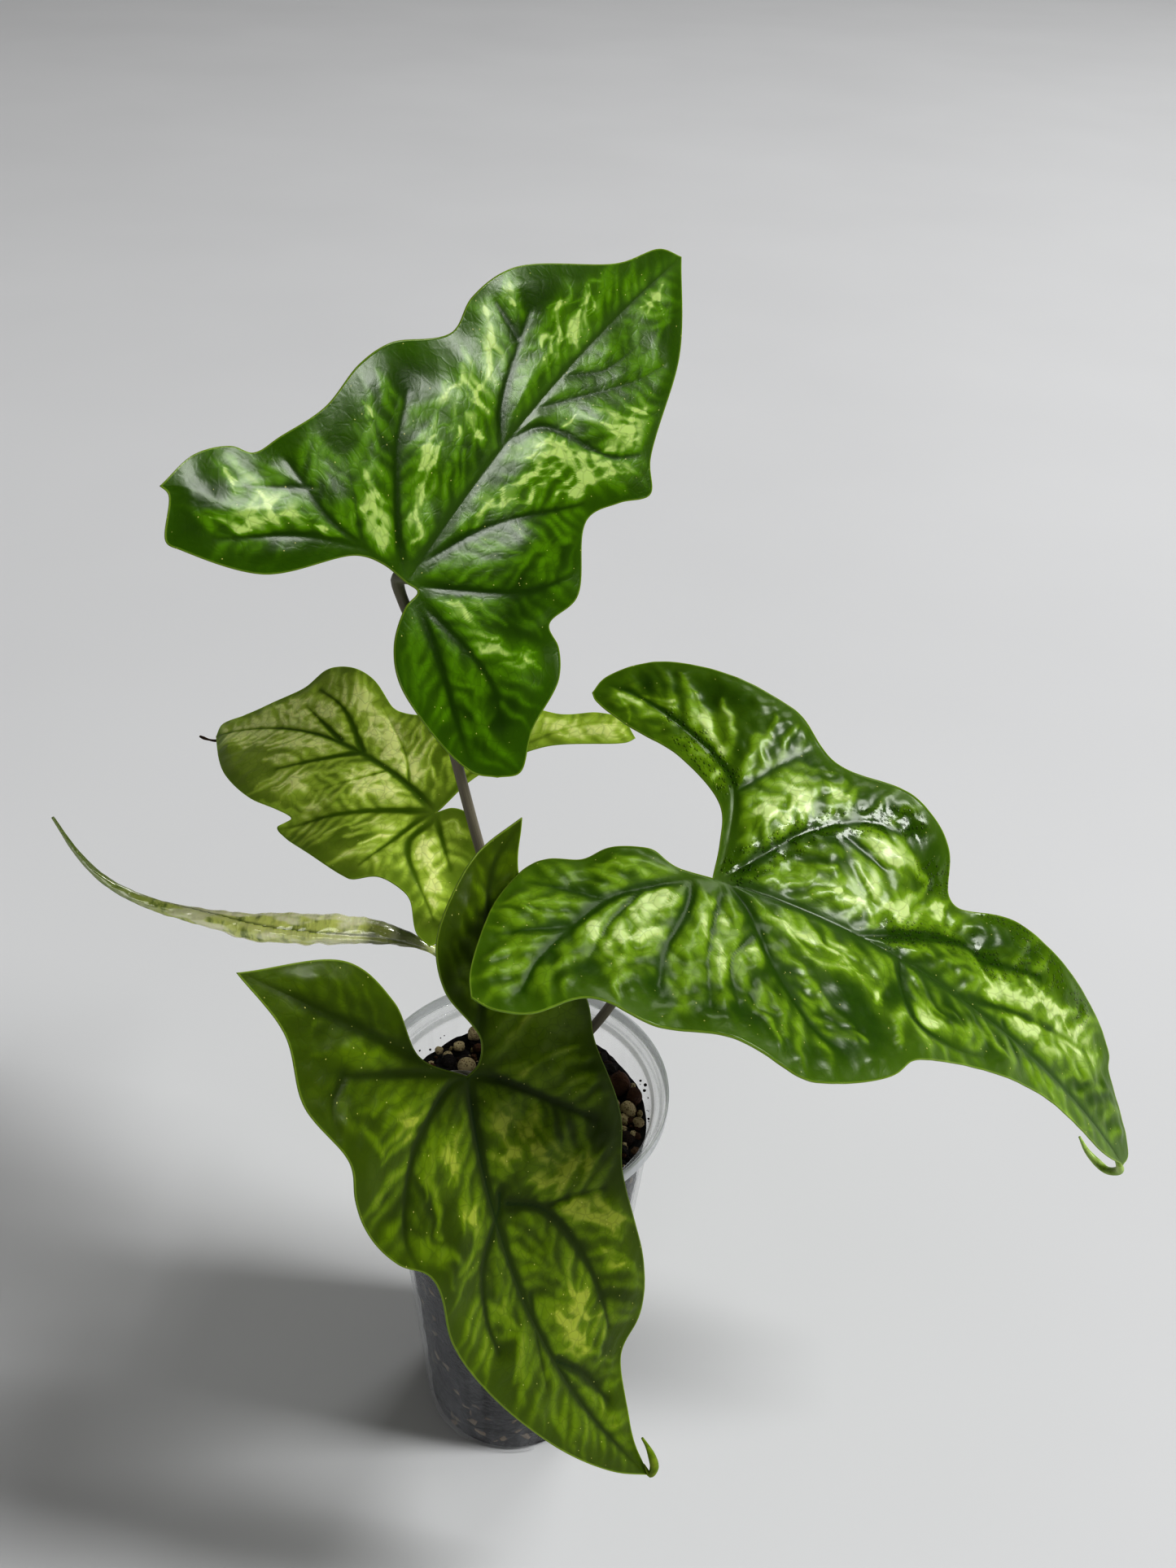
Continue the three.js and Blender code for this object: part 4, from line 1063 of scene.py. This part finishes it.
def mix_body():
    """The plug of mix as a turned section: floor, side, top and the stem's hole.

    The side is pressed in by about a millimetre between crumbs, and the top rises and falls.
    """
    bottom = FLOOR_THICKNESS + CLEARANCE
    hole = STEM_RADIUS + CLEARANCE
    hole_bottom = STEM_BOTTOM - CLEARANCE
    side = np.linspace(bottom, MIX_LEVEL, MIX_SIDE_ROWS)
    top = np.linspace(mix_radius(MIX_LEVEL), hole, MIX_TOP_ROWS)
    profile = np.vstack([
        [(0, bottom)], np.column_stack([mix_radius(side), side]),
        np.column_stack([top, np.full(MIX_TOP_ROWS, MIX_LEVEL)])[1:],
        [(hole, hole_bottom), (0, hole_bottom)],
    ])
    points, faces = turned(profile, MIX_SIDES)
    points = points.reshape(len(profile), MIX_SIDES, 3)
    sides = slice(2, MIX_SIDE_ROWS)
    small = 0.55 * (1 - ripples(points[sides], 4.5, 41)) * 0.5
    dents = small + 0.5 * (1 - ripples(points[sides], 11, 42)) * 0.5
    shrink = 1 - np.clip(dents, 0, 1.3) / mix_radius(MIX_LEVEL / 2)
    points[sides, :, :2] *= shrink[..., None]
    tops = slice(MIX_SIDE_ROWS, MIX_SIDE_ROWS + MIX_TOP_ROWS)
    points[tops, :, 2] = mix_top(points[tops, :, :2])
    return points.reshape(-1, 3), faces


# Leaves


def leaf_axes(leaf):
    """The leaf's across, along and up directions."""
    return facing_axes(leaf["heading"], leaf["climb"], leaf["roll"])


def midrib_x(leaf, y):
    """How far the midrib stands off the straight line: tip sway t^2 plus middle sway 4t(1 - t)."""
    t = y / leaf["length"]
    return leaf["sway"][0] * t * t + leaf["sway"][1] * 4 * t * (1 - t)


def blade_height(leaf, x, y):
    """Height of the blade over its plane: a gutter along the midrib, droops, twist and swells."""
    length = leaf["length"]
    front, back = np.maximum(y, 0), np.maximum(-y, 0)
    off = x - midrib_x(leaf, np.clip(y, 0, length * 1.1))
    lift = np.where(x > 0, leaf["right_lift"], leaf["left_lift"])
    height = leaf["gutter"] * (np.hypot(off, GUTTER_WIDTH) - GUTTER_WIDTH)
    bend = leaf["front"] * front**2 + leaf["back"] * back**2 + leaf["side"] * x**2
    height = height - bend / length
    height = height + (leaf["twist"] * x * y + lift * back * np.abs(x)) / length
    for sx, sy, radius, rise in leaf["swells"]:
        height = height + rise * np.exp(-((x - sx) ** 2 + (y - sy) ** 2) / (2 * radius**2))
    return height


def blade_surface(leaf, x, y):
    """Points of the plain blade and its unit normals, in the plant's frame."""
    step = 0.05
    slope_x = (blade_height(leaf, x + step, y) - blade_height(leaf, x - step, y)) / (2 * step)
    slope_y = (blade_height(leaf, x, y + step) - blade_height(leaf, x, y - step)) / (2 * step)
    local = np.stack([x, y, blade_height(leaf, x, y)], axis=-1)
    normal = np.stack([-slope_x, -slope_y, np.ones_like(x)], axis=-1)
    normal /= np.linalg.norm(normal, axis=-1, keepdims=True)
    axes = np.array(leaf_axes(leaf))
    return np.array(leaf["junction"]) + local @ axes, normal @ axes


def half_blade(leaf, side, rows, columns):
    """Half a blade's x and y on a grid whose rows run from the lobe's tip to the leaf's tip.

    A row goes straight from the sinus, or further on from the midrib, out to the front margin.
    """
    sinus = np.array(leaf[side + "_sinus"], float)
    front = np.array(leaf[side + "_front"], float)
    sinus_rows = int(rows * SINUS_ROW_SHARE)
    share = np.linspace(0, 1, rows - sinus_rows)
    tip_x, tip_y = front[-1]
    midrib_y = tip_y * share
    rib = midrib_x(leaf, midrib_y) + (tip_x - midrib_x(leaf, tip_y)) * share**2
    inner_sinus = at_shares(spline(sinus)[::-1], np.linspace(0, 1, sinus_rows + 1)[:-1])
    inner = np.vstack([inner_sinus, np.column_stack([rib, midrib_y])])
    lobe_shares = np.linspace(0, SINUS_SHARE, sinus_rows + 1)[:-1]
    out_shares = np.r_[lobe_shares, SINUS_SHARE + (1 - SINUS_SHARE) * share]
    outer = at_shares(spline(front), out_shares)
    reach = np.linspace(0, 1, columns)[None, :, None]
    return inner[:, None] * (1 - reach) + outer[:, None] * reach


def vein_lines(leaf):
    """The midrib and the listed veins as smooth lines in the leaf's plane."""
    tip_y = leaf["right_front"][-1][1]
    tip_x = leaf["right_front"][-1][0]
    t = np.linspace(0, 1, 60)
    rib = midrib_x(leaf, tip_y * t) + (tip_x - midrib_x(leaf, tip_y)) * t**2
    return [np.column_stack([rib, tip_y * t])] + [spline(vein, 8) for vein in leaf["veins"]]


def streak_strokes(leaf):
    """The listed strokes, and thin branches that fork from each."""
    draw = np.random.default_rng(leaf["angle"] + 400)
    strokes = list(leaf["streaks"])
    for x0, y0, x1, y1, width, strength in leaf["streaks"]:
        along = np.array([x1 - x0, y1 - y0])
        reach = max(np.linalg.norm(along), 7)
        for _ in range(3):
            start = np.array([x0, y0]) + along * draw.uniform(0, 0.9)
            turn = draw.choice((-1, 1)) * draw.uniform(0.3, 0.65)
            spin = np.array([[math.cos(turn), -math.sin(turn)], [math.sin(turn), math.cos(turn)]])
            ahead = spin @ along / max(np.linalg.norm(along), 1)
            end = start + ahead * reach * draw.uniform(0.4, 0.7)
            strokes.append((*start, *end, width * 0.4, strength * 0.8))
    return strokes


def streak_fields(leaf, places):
    """How cream each place is from the strokes, and how far the light green round them reaches.

    Each stroke adds strength times a bell curve of the gap, narrow for the cream and wide for the
    light green. Strokes join as 1 - (1 - a)(1 - b), so that they run into each other softly.
    """
    warped = places + 0.9 * np.column_stack([ripples(places, 9, 51), ripples(places, 9, 52)])
    plain, dull = np.ones(len(places)), np.ones(len(places))
    for x0, y0, x1, y1, width, strength in streak_strokes(leaf):
        gap, share = line_gap(warped, np.array([(x0, y0), (x1, y1)]))
        half = leaf["stroke"] * width * (1 - 0.7 * (2 * share - 1) ** 2)
        plain *= 1 - 0.95 * strength * np.exp(-((gap / half) ** 2))
        dull *= 1 - 0.6 * strength * np.exp(-((gap / (width + 2.5)) ** 2))
    return 1 - plain, 1 - dull


def bones(leaf, line, draw):
    """Curved strokes that leave a vein forwards on both sides, as (three points, half width)."""
    run = travelled(line)
    found = []
    for side in (-1, 1):
        for reached in np.arange(draw.uniform(1, leaf["spacing"]), run[-1], leaf["spacing"]):
            reached = reached + draw.uniform(-0.2, 0.2) * leaf["spacing"]
            if reached >= 0.98 * run[-1]:
                continue
            share = reached / run[-1]
            root, ahead = at_shares(line, np.clip([share, share + 0.01], 0, 1))
            facing = math.atan2(*(ahead - root)[::-1])
            first = facing + side * draw.uniform(0.75, 1.0)
            second = facing + side * draw.uniform(0.3, 0.6)
            reach = draw.uniform(1.1, 2.1) * leaf["bone"]
            bend = root + reach * 0.5 * np.array([math.cos(first), math.sin(first)])
            end = bend + reach * 0.5 * np.array([math.cos(second), math.sin(second)])
            found.append((np.array([root, bend, end]), leaf["spacing"] * draw.uniform(0.2, 0.32)))
    return found


def bone_field(leaf, places, away, nearest):
    """How strongly the thin strokes that leave the veins mark each place, 0 to 1.

    A stroke is a bell curve of the gap to its bent line. It counts only near its own vein, where
    no other vein is closer. `away` holds the distance to each vein and `nearest` their least.
    """
    draw = np.random.default_rng(leaf["angle"] + 500)
    warped = places + 0.5 * np.column_stack([ripples(places, 8, 53), ripples(places, 8, 54)])
    plain = np.ones(len(places))
    for line, distance in zip(vein_lines(leaf), away):
        own = np.exp(-(((distance - nearest) / 3.5) ** 2))
        for stroke, half in bones(leaf, line, draw):
            within = np.linalg.norm(warped - stroke[1], axis=1) < 2 * leaf["bone"]
            close = np.flatnonzero(within & (own > 0.02))
            if len(close) == 0:
                continue
            gap, share = line_gap(warped[close], stroke)
            strength = draw.uniform(0.55, 1.0)
            bell = np.exp(-((gap / (half * (1.1 - 0.6 * share))) ** 2))
            plain[close] *= 1 - strength * own[close] * bell
    return 1 - plain


def vein_depth(number, faint):
    """The midrib, which comes first, is the deepest, and a faint vein is the shallowest."""
    if number == 0:
        return 1.2
    return 0.4 if faint else 0.85


def blade_values(leaf, places, margin):
    """What the material reads at each place of a blade, and the depth of the veins there."""
    gap = np.full(len(places), float(VEIN_GAP_CAP))
    furrow = np.zeros(len(places))
    away = []
    lines = vein_lines(leaf)
    for number, line in enumerate(lines):
        distance, share = line_gap(places, line)
        faint = number >= len(lines) - leaf["faint"]
        depth = vein_depth(number, faint) * (1 - 0.7 * share)
        furrow = np.maximum(furrow, depth * np.exp(-((distance / 0.8) ** 2)))
        gap = np.minimum(gap, distance + 1.2 * share + (0.7 if faint else 0.0))
        away.append(distance)
    nearest = np.min(away, axis=0)
    rib = bone_field(leaf, places, away, nearest)
    streak, glow = streak_fields(leaf, places)
    rim, _ = line_gap(places, margin)
    # Painted shade: spots where the pattern is dimmed, so that the blade lies darker there
    for x, y, radius, share in leaf["shade_dim"]:
        shade_dim = 1 - share * np.exp(-((np.linalg.norm(places - (x, y), axis=1) / radius) ** 4))
        rib, streak, glow = rib * shade_dim, streak * shade_dim, glow * shade_dim
    light = leaf["light"] * (0.7 + 0.6 * smoothstep(20, 100, np.linalg.norm(places, axis=1)))
    # Painted light: lighter spots where another leaf's shadow falls on the blade
    for x, y, radius, share in leaf["lift"]:
        light = light + share * np.exp(-((np.linalg.norm(places - (x, y), axis=1) / radius) ** 2))
    wet = [np.exp(-((line_gap(places, spline(line))[0] / 4.5) ** 2)) for line in leaf["damp"]]
    damp = np.max(wet, axis=0) if wet else np.zeros(len(places))
    values = {
        "leaf_place": np.column_stack([places, nearest]), "vein_gap": gap,
        "rim_gap": np.minimum(rim, RIM_GAP_CAP), "midrib_gap": np.minimum(away[0], VEIN_GAP_CAP),
        "streak": streak, "glow": glow, "light": light, "damp": damp,
        "between": 1 - np.exp(-((gap / leaf["band"]) ** 1.5)), "rib": rib,
        "dry": np.zeros(len(places)),
    }
    return values, furrow


def blade_relief(leaf, places, values, furrow):
    """Height added to the plain blade: sunk veins, pillows between them and a puckered skin."""
    quilt = leaf["quilt"]
    swell = 0.75 + 0.45 * ripples(places, 24, 71)
    pillow = 1.2 * swell * (1 - np.exp(-((values["vein_gap"] / 5.5) ** 1.25)))
    pillow = pillow + 2 * leaf["pucker"] * values["rib"] * values["between"]
    pucker = leaf["pucker"] * ripples(places, 6, 72) * values["between"]
    relief = quilt * (pillow + pucker) - leaf["furrow"] * furrow
    return relief * (0.25 + 0.75 * smoothstep(0, 5, values["rim_gap"]))


def blade_thickness(rim, thick, thin):
    """The blade thins to its edge over the last few millimetres."""
    return thin + (thick - thin) * smoothstep(0, 4, rim)


def half_blade_shell(leaf, side, sizes):
    """Both faces of half a blade with their edges closed, and the values at each point."""
    rows, columns = sizes.blade_rows, sizes.blade_columns
    grid = half_blade(leaf, side, rows, columns)
    places = grid.reshape(-1, 2)
    margin = np.vstack([spline(leaf[side + "_sinus"], 8), spline(leaf[side + "_front"], 8)[1:]])
    values, furrow = blade_values(leaf, places, margin)
    relief = blade_relief(leaf, places, values, furrow)
    base, normal = blade_surface(leaf, places[:, 0], places[:, 1])
    depth = blade_thickness(values["rim_gap"], BLADE_THICKNESS, sizes.margin_thickness / MM)
    upper = base + normal * relief[:, None]
    lower = upper - normal * depth[:, None]
    count = rows * columns
    left = side == "left"
    faces = [
        grid_faces(rows, columns, flip=left),
        grid_faces(rows, columns, offset=count, flip=not left),
        edge_faces(np.arange(rows) * columns + columns - 1, count, left),
        edge_faces(np.arange(int(rows * SINUS_ROW_SHARE) + 1) * columns, count, not left),
    ]
    doubled = {key: np.concatenate([array, array]) for key, array in values.items()}
    doubled["under"] = np.r_[np.zeros(count), np.ones(count)]
    return np.vstack([upper, lower]), np.vstack(faces), doubled


def edge_faces(numbers, offset, flip):
    """Quads between a line of the upper face and the same line of the lower face."""
    start, end = numbers[:-1], numbers[1:]
    faces = np.column_stack([start + offset, end + offset, end, start])
    return faces[:, ::-1] if flip else faces


def tail_shell(leaf):
    """The thin tip past the blade, rooted a little way back along the midrib."""
    tip = np.array(leaf["right_front"][-1], float)
    root = tip * (1 - TAIL_ROOT / np.linalg.norm(tip))
    base, normal = blade_surface(leaf, root[:1], root[1:])
    start = [*(base - normal * BLADE_THICKNESS / 2)[0], BLADE_THICKNESS / 2]
    curve = at_shares(spline([start] + leaf["tail"], 10), np.linspace(0, 1, 40))
    points, faces = swept(curve[:, :3], curve[:, 3], 14)
    count = len(points)
    spread = np.linspace(0, 1, count)
    even = {
        "vein_gap": 3.0, "rim_gap": 3.0, "midrib_gap": 6.0, "streak": 1.0, "glow": 1.0,
        "light": 0.0, "between": 0.6, "rib": 0.6, "under": 0.0, "damp": 0.0,
    }
    values = {key: np.full(count, value) for key, value in even.items()}
    values["leaf_place"] = points.copy()
    values["dry"] = smoothstep(0, 0.3, spread) * leaf["dry_tail"]
    return points, faces, values


def blade_piece(leaf, sizes, colours):
    """Joins a blade's two halves and its thin tip into one piece with its own leaf skin."""
    shells = [half_blade_shell(leaf, side, sizes) for side in ("right", "left")]
    if leaf["tail"]:
        shells.append(tail_shell(leaf))
    points, faces, values = join_shells(shells)
    key = leaf["name"].split("_")[1]
    shades = [rgba(getattr(colours, f"{key}_{shade}")) for shade in ("deep", "bright", "cream")]
    material = blade_material(leaf, *shades)
    piece = new_piece(leaf["name"] + "_blade_fine", points, faces, material, values)
    settle(piece, leaf["slot"], leaf["name"] + "_blade")


# Stalks


def crown_point(angle):
    """Where a stalk stands on the stem's top."""
    return on_circle(CROWN_RADIUS, math.radians(angle), STEM_TOP + CLEARANCE)


def petiole_shell(leaf):
    """A stalk along its curve: wider at the foot, slim in the middle, swollen at the neck."""
    _, along, up = leaf_axes(leaf)
    end = np.array(leaf["junction"]) + along * (PETIOLE_RADIUS + 0.6)
    end = end - up * (BLADE_THICKNESS + CLEARANCE)
    foot = crown_point(leaf["angle"])
    middle = np.array(leaf["petiole"], float)
    path = [foot, foot + np.array([0, 0, 3]), *middle, end - up * PETIOLE_NECK, end]
    curve = at_shares(spline(path, 20), np.linspace(0, 1, 120))
    run = travelled(curve)
    share = run / run[-1]
    foot_swell = 0.18 * np.exp(-((run / 12) ** 2))
    neck_swell = 0.2 * smoothstep(PETIOLE_NECK + 5, PETIOLE_NECK - 2, run[-1] - run)
    radii = PETIOLE_RADIUS * (0.86 + foot_swell + neck_swell)
    angles = np.linspace(0, 2 * np.pi, PETIOLE_SIDES, endpoint=False)
    radii = radii[:, None] * (1 + 0.02 * np.cos(5 * angles))
    points, faces = swept(curve, radii, PETIOLE_SIDES)
    return points, faces, stalk_values(run, share, PETIOLE_SIDES, PETIOLE_RADIUS)


def stalk_values(run, share, sides, radius):
    """Millimetres round and along a stalk, and the share of its length run."""
    run, share = np.r_[run[0], run, run[-1]], np.r_[share[0], share, share[-1]]
    around = np.abs(np.linspace(-1, 1, sides, endpoint=False)) * np.pi * radius
    stalk = np.stack(np.broadcast_arrays(around[None, :], run[:, None], 0.0), axis=-1)
    return {"stalk": stalk.reshape(-1, 3), "stalk_share": np.repeat(share, sides)}


def new_leaf_shell(sides=72, rows=320):
    """The rolled leaf: its section is one turn of a slow spiral whose edge drifts along it."""
    foot = crown_point(NEW_LEAF_ANGLE)
    path = [(*foot, 1.6), (foot[0], foot[1], foot[2] + 3, 1.6), *NEW_LEAF_PATH]
    curve = at_shares(spline(path, 24), np.linspace(0, 1, rows))
    run = travelled(curve)
    share = run / run[-1]
    angles = np.linspace(0, 1, sides, endpoint=False)
    edge_place = 0.5 + 0.62 * share + 0.05 * np.sin(9 * share)
    around = np.mod(angles[None, :] - edge_place[:, None], 1)
    rolled = smoothstep(0.28, 0.36, share)[:, None]
    lip = smoothstep(1, 0.965, around)
    spiral = 0.84 + 0.22 * around * lip
    skew = run[:, None] + 5 * np.cos(2 * np.pi * angles)[None, :]
    wide = ripples(np.column_stack([skew.ravel(), 0 * skew.ravel()]), 9, 81)
    small = ripples(np.column_stack([0.4 * skew.ravel(), np.tile(6 * angles, rows)]), 1.4, 82)
    folds = (0.055 * wide + 0.02 * small).reshape(skew.shape)
    radii = curve[:, 3:4] * (1 + rolled * (spiral + folds - 0.97))
    points, faces = swept(curve[:, :3], radii, sides)
    values = stalk_values(run, share, sides, 3)
    edge = np.where(rolled > 0.5, around, 0.5)
    values["roll_edge"] = np.vstack([edge[:1], edge, edge[-1:]]).ravel()
    return points, faces, values


def stem_profile():
    """Radius and height up the stem, with swollen rings where old leaves stood."""
    height = np.linspace(STEM_BOTTOM, STEM_TOP, STEM_ROWS)
    radius = np.full(STEM_ROWS, STEM_RADIUS - 0.5)
    for below, rise in STEM_RINGS:
        radius += rise * np.exp(-(((height - (STEM_TOP - below)) / 1.2) ** 2))
    radius -= 1.6 * np.exp(-(((height - STEM_BOTTOM) / 1.5) ** 2))
    radius -= 0.4 * smoothstep(STEM_TOP - 1.2, STEM_TOP, height)
    return np.vstack([[(0, STEM_BOTTOM)], np.column_stack([radius, height]), [(0, STEM_TOP)]])


def settle(piece, slot, *nodes):
    """The piece rides on the plant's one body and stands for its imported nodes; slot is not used."""
    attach(piece, "root")
    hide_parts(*nodes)


# Settings


def colour(name, description, *screen):
    """A colour setting whose default is given as 0 to 255 on a screen."""
    return FloatVectorProperty(
        name=name, description=description, subtype="COLOR", size=3, min=0, max=1,
        default=tone(*screen)[:3])


class PlantSizes(bpy.types.PropertyGroup):
    """How finely the plant is worked."""

    margin_thickness: FloatProperty(
        name="Margin thickness", description="Thickness of a blade at its edge", default=0.45 * MM,
        min=0.1 * MM, max=0.8 * MM, unit="LENGTH")
    blade_rows: IntProperty(
        name="Blade rows", description="Rows of points from a lobe's tip to the leaf's tip",
        default=290, min=40, max=320)
    blade_columns: IntProperty(
        name="Blade columns", description="Points across half a blade", default=72, min=12, max=80)
    crumb_count: IntProperty(
        name="Crumbs", description="Small crumbs scattered over the mix", default=900, min=0,
        max=4000)


class PlantColours(bpy.types.PropertyGroup):
    """The plant's colours."""

    top_deep: colour("Top leaf, deep", "Green along the top leaf's veins", 36, 62, 0)
    top_bright: colour("Top leaf, bright", "Green between the top leaf's veins", 86, 126, 4)
    top_cream: colour("Top leaf, cream", "The top leaf's streaks", 168, 190, 112)
    back_deep: colour("Back leaf, deep", "Green along the back leaf's veins", 76, 102, 4)
    back_bright: colour("Back leaf, bright", "Green between the back leaf's veins", 168, 190, 76)
    back_cream: colour("Back leaf, cream", "The back leaf's streaks", 226, 234, 156)
    right_deep: colour("Right leaf, deep", "Green along the right leaf's veins", 46, 76, 0)
    right_bright: colour("Right leaf, bright", "Green between the right leaf's veins", 118, 150, 30)
    right_cream: colour("Right leaf, cream", "The right leaf's streaks", 194, 212, 144)
    front_deep: colour("Front leaf, deep", "Green along the front leaf's veins", 42, 58, 0)
    front_bright: colour("Front leaf, bright", "Green between the front leaf's veins", 98, 122, 2)
    front_cream: colour("Front leaf, cream", "The front leaf's streaks", 148, 160, 60)
    petiole: colour("Stalks", "Base colour of the stalks", 84, 78, 66)
    new_leaf: colour("New leaf", "Base colour of the rolled leaf", 222, 230, 132)
    bark: colour("Bark", "Darkest crumbs of the mix", 18, 13, 14)
    pumice: colour("Pumice", "Palest grains of the mix", 196, 180, 146)
    plastic: colour("Plastic", "Haze of the clear pot", 230, 234, 238)


# Operators


class PLANT_OT_pot(bpy.types.Operator):
    """Turns the clear pot and cuts its foot notches and drain holes"""

    bl_idname = "plant.pot"
    bl_label = "Pot"

    def execute(self, context):
        material = plastic_material(rgba(context.scene.plant_colours.plastic))
        points, faces = turned(pot_profile(), POT_SIDES)
        pot = new_piece("nursery_pot", points, faces, material)
        points, faces = pot_cutters()
        cut_away(pot, new_piece("pot_cutters", points, faces, material))
        finish_mesh(pot.data, material, 38)
        settle(pot, "clear_plastic", "pot")
        return {"FINISHED"}


class PLANT_OT_potting_mix(bpy.types.Operator):
    """Fills the pot with mix: a body pressed to the wall, and crumbs and grains on top"""

    bl_idname = "plant.potting_mix"
    bl_label = "Potting mix"

    def execute(self, context):
        colours, sizes = context.scene.plant_colours, context.scene.plant_sizes
        points, faces = mix_body()
        material = packed_mix_material(rgba(colours.bark))
        body = new_piece("potting_mix_body", points, faces, material, sharp=60)
        settle(body, "potting_mix", "potting_mix")
        shells = [packed_lumps(), small_crumbs(sizes.crumb_count), show_grains(), wall_specks()]
        points, faces, values = join_shells(shells)
        material = mix_material(rgba(colours.bark), rgba(colours.pumice))
        crumb_piece = new_piece("potting_mix_crumbs", points, faces, material, values, sharp=35)
        settle(crumb_piece, "potting_mix", "potting_mix")
        return {"FINISHED"}


class PLANT_OT_stem(bpy.types.Operator):
    """Turns the short stem"""

    bl_idname = "plant.stem"
    bl_label = "Stem"

    def execute(self, context):
        points, faces = turned(stem_profile(), STEM_SIDES)
        points[:, :2] *= (1 + 0.03 * ripples(points, 9, 91))[:, None]
        stem = new_piece("short_stem", points, faces, stem_material(), sharp=50)
        settle(stem, "stem", "stem")
        return {"FINISHED"}


class PLANT_OT_petioles(bpy.types.Operator):
    """Grows a stalk under each open leaf"""

    bl_idname = "plant.petioles"
    bl_label = "Petioles"

    def execute(self, context):
        material = petiole_material(rgba(context.scene.plant_colours.petiole))
        for leaf in LEAVES:
            points, faces, values = petiole_shell(leaf)
            piece = new_piece(leaf["name"] + "_petiole_fine", points, faces, material, values)
            settle(piece, "petiole", leaf["name"] + "_petiole")
        return {"FINISHED"}


class PLANT_OT_blades(bpy.types.Operator):
    """Grows the four open blades with their veins, pillows and cream streaks"""

    bl_idname = "plant.blades"
    bl_label = "Blades"

    def execute(self, context):
        for leaf in LEAVES:
            blade_piece(leaf, context.scene.plant_sizes, context.scene.plant_colours)
        return {"FINISHED"}


class PLANT_OT_new_leaf(bpy.types.Operator):
    """Grows the new leaf, still rolled"""

    bl_idname = "plant.new_leaf"
    bl_label = "New leaf"

    def execute(self, context):
        points, faces, values = new_leaf_shell()
        material = new_leaf_material(rgba(context.scene.plant_colours.new_leaf))
        piece = new_piece("new_leaf_rolled_fine", points, faces, material, values)
        settle(piece, "new_leaf", "new_leaf_rolled")
        return {"FINISHED"}


class PLANT_OT_stage(bpy.types.Operator):
    """Sets the floor, the lights and the camera"""

    bl_idname = "plant.stage"
    bl_label = "Stage"

    def execute(self, context):
        add_floor()
        for name, (place, size, power) in LIGHTS.items():
            add_light(name, place, size, power)
        add_sky(context.scene, SKY_STRENGTH)
        add_camera(context.scene)
        context.scene.view_settings.view_transform = "Standard"
        context.scene.view_settings.look = "High Contrast"
        return {"FINISHED"}


def add_floor():
    """A plain square floor under the pot."""
    reach = FLOOR_HALF_WIDTH
    corners = [(-reach, -reach, 0), (reach, -reach, 0), (reach, reach, 0), (-reach, reach, 0)]
    mesh = bpy.data.meshes.new("floor")
    mesh.from_pydata(corners, [], [(0, 1, 2, 3)])
    mesh.materials.append(floor_material())
    floor = bpy.data.objects.new("floor", mesh)
    bpy.context.scene.collection.objects.link(floor)


def add_light(name, place, size, power):
    """A soft light of a given width and height that faces the plant's middle."""
    light = bpy.data.lights.new(name, "AREA")
    light.shape = "RECTANGLE"
    light.size, light.size_y = size
    light.energy = power
    lamp = bpy.data.objects.new(name, light)
    bpy.context.scene.collection.objects.link(lamp)
    lamp.location = place
    aim = Vector(LIGHT_AIM) - lamp.location
    lamp.rotation_mode = "QUATERNION"
    lamp.rotation_quaternion = aim.to_track_quat("-Z", "Y")


def add_sky(scene, strength):
    """An even, faintly warm light from all sides."""
    world = bpy.data.worlds.new("soft_room")
    world.use_nodes = True
    background = world.node_tree.nodes["Background"]
    background.inputs["Color"].default_value = (1.0, 0.97, 0.95, 1.0)
    background.inputs["Strength"].default_value = strength
    scene.world = world


def add_camera(scene):
    """A camera whose view direction follows yaw and pitch, turned about it by the roll."""
    right, forward, up = facing_axes(CAMERA_YAW, -CAMERA_PITCH, CAMERA_ROLL)
    lens = bpy.data.cameras.new("camera")
    lens.lens = CAMERA_LENS_MM
    lens.sensor_width = 36
    lens.clip_start = 0.01
    lens.clip_end = 50
    camera = bpy.data.objects.new("camera", lens)
    scene.collection.objects.link(camera)
    camera.matrix_world = Matrix([
        (right[i], up[i], -forward[i], CAMERA_PLACE[i]) for i in range(3)] + [(0, 0, 0, 1)])
    scene.camera = camera


class PLANT_PT_panel(bpy.types.Panel):
    """Lists the plant's pieces, sizes and colours"""

    bl_idname = "PLANT_PT_panel"
    bl_label = "Potted cercestis mirabilis"
    bl_space_type = "VIEW_3D"
    bl_region_type = "UI"
    bl_category = "Plant"

    def draw(self, context):
        for operator in OPERATORS:
            self.layout.operator(operator.bl_idname)
        for settings in (context.scene.plant_sizes, context.scene.plant_colours):
            box = self.layout.box()
            for key in settings.__annotations__:
                box.prop(settings, key)


OPERATORS = (
    PLANT_OT_pot, PLANT_OT_potting_mix, PLANT_OT_stem, PLANT_OT_petioles, PLANT_OT_blades,
    PLANT_OT_new_leaf, PLANT_OT_stage,
)
CLASSES = (PlantSizes, PlantColours, *OPERATORS, PLANT_PT_panel)


def register():
    for item in CLASSES:
        bpy.utils.register_class(item)
    bpy.types.Scene.plant_sizes = PointerProperty(type=PlantSizes)
    bpy.types.Scene.plant_colours = PointerProperty(type=PlantColours)


def unregister():
    del bpy.types.Scene.plant_colours
    del bpy.types.Scene.plant_sizes
    for item in reversed(CLASSES):
        bpy.utils.unregister_class(item)


def main():
    """Builds every piece in order."""
    register()
    bpy.ops.plant.pot()
    bpy.ops.plant.potting_mix()
    bpy.ops.plant.stem()
    bpy.ops.plant.petioles()
    bpy.ops.plant.blades()
    bpy.ops.plant.new_leaf()
    bpy.ops.plant.stage()


if __name__ == "__main__":
    main()
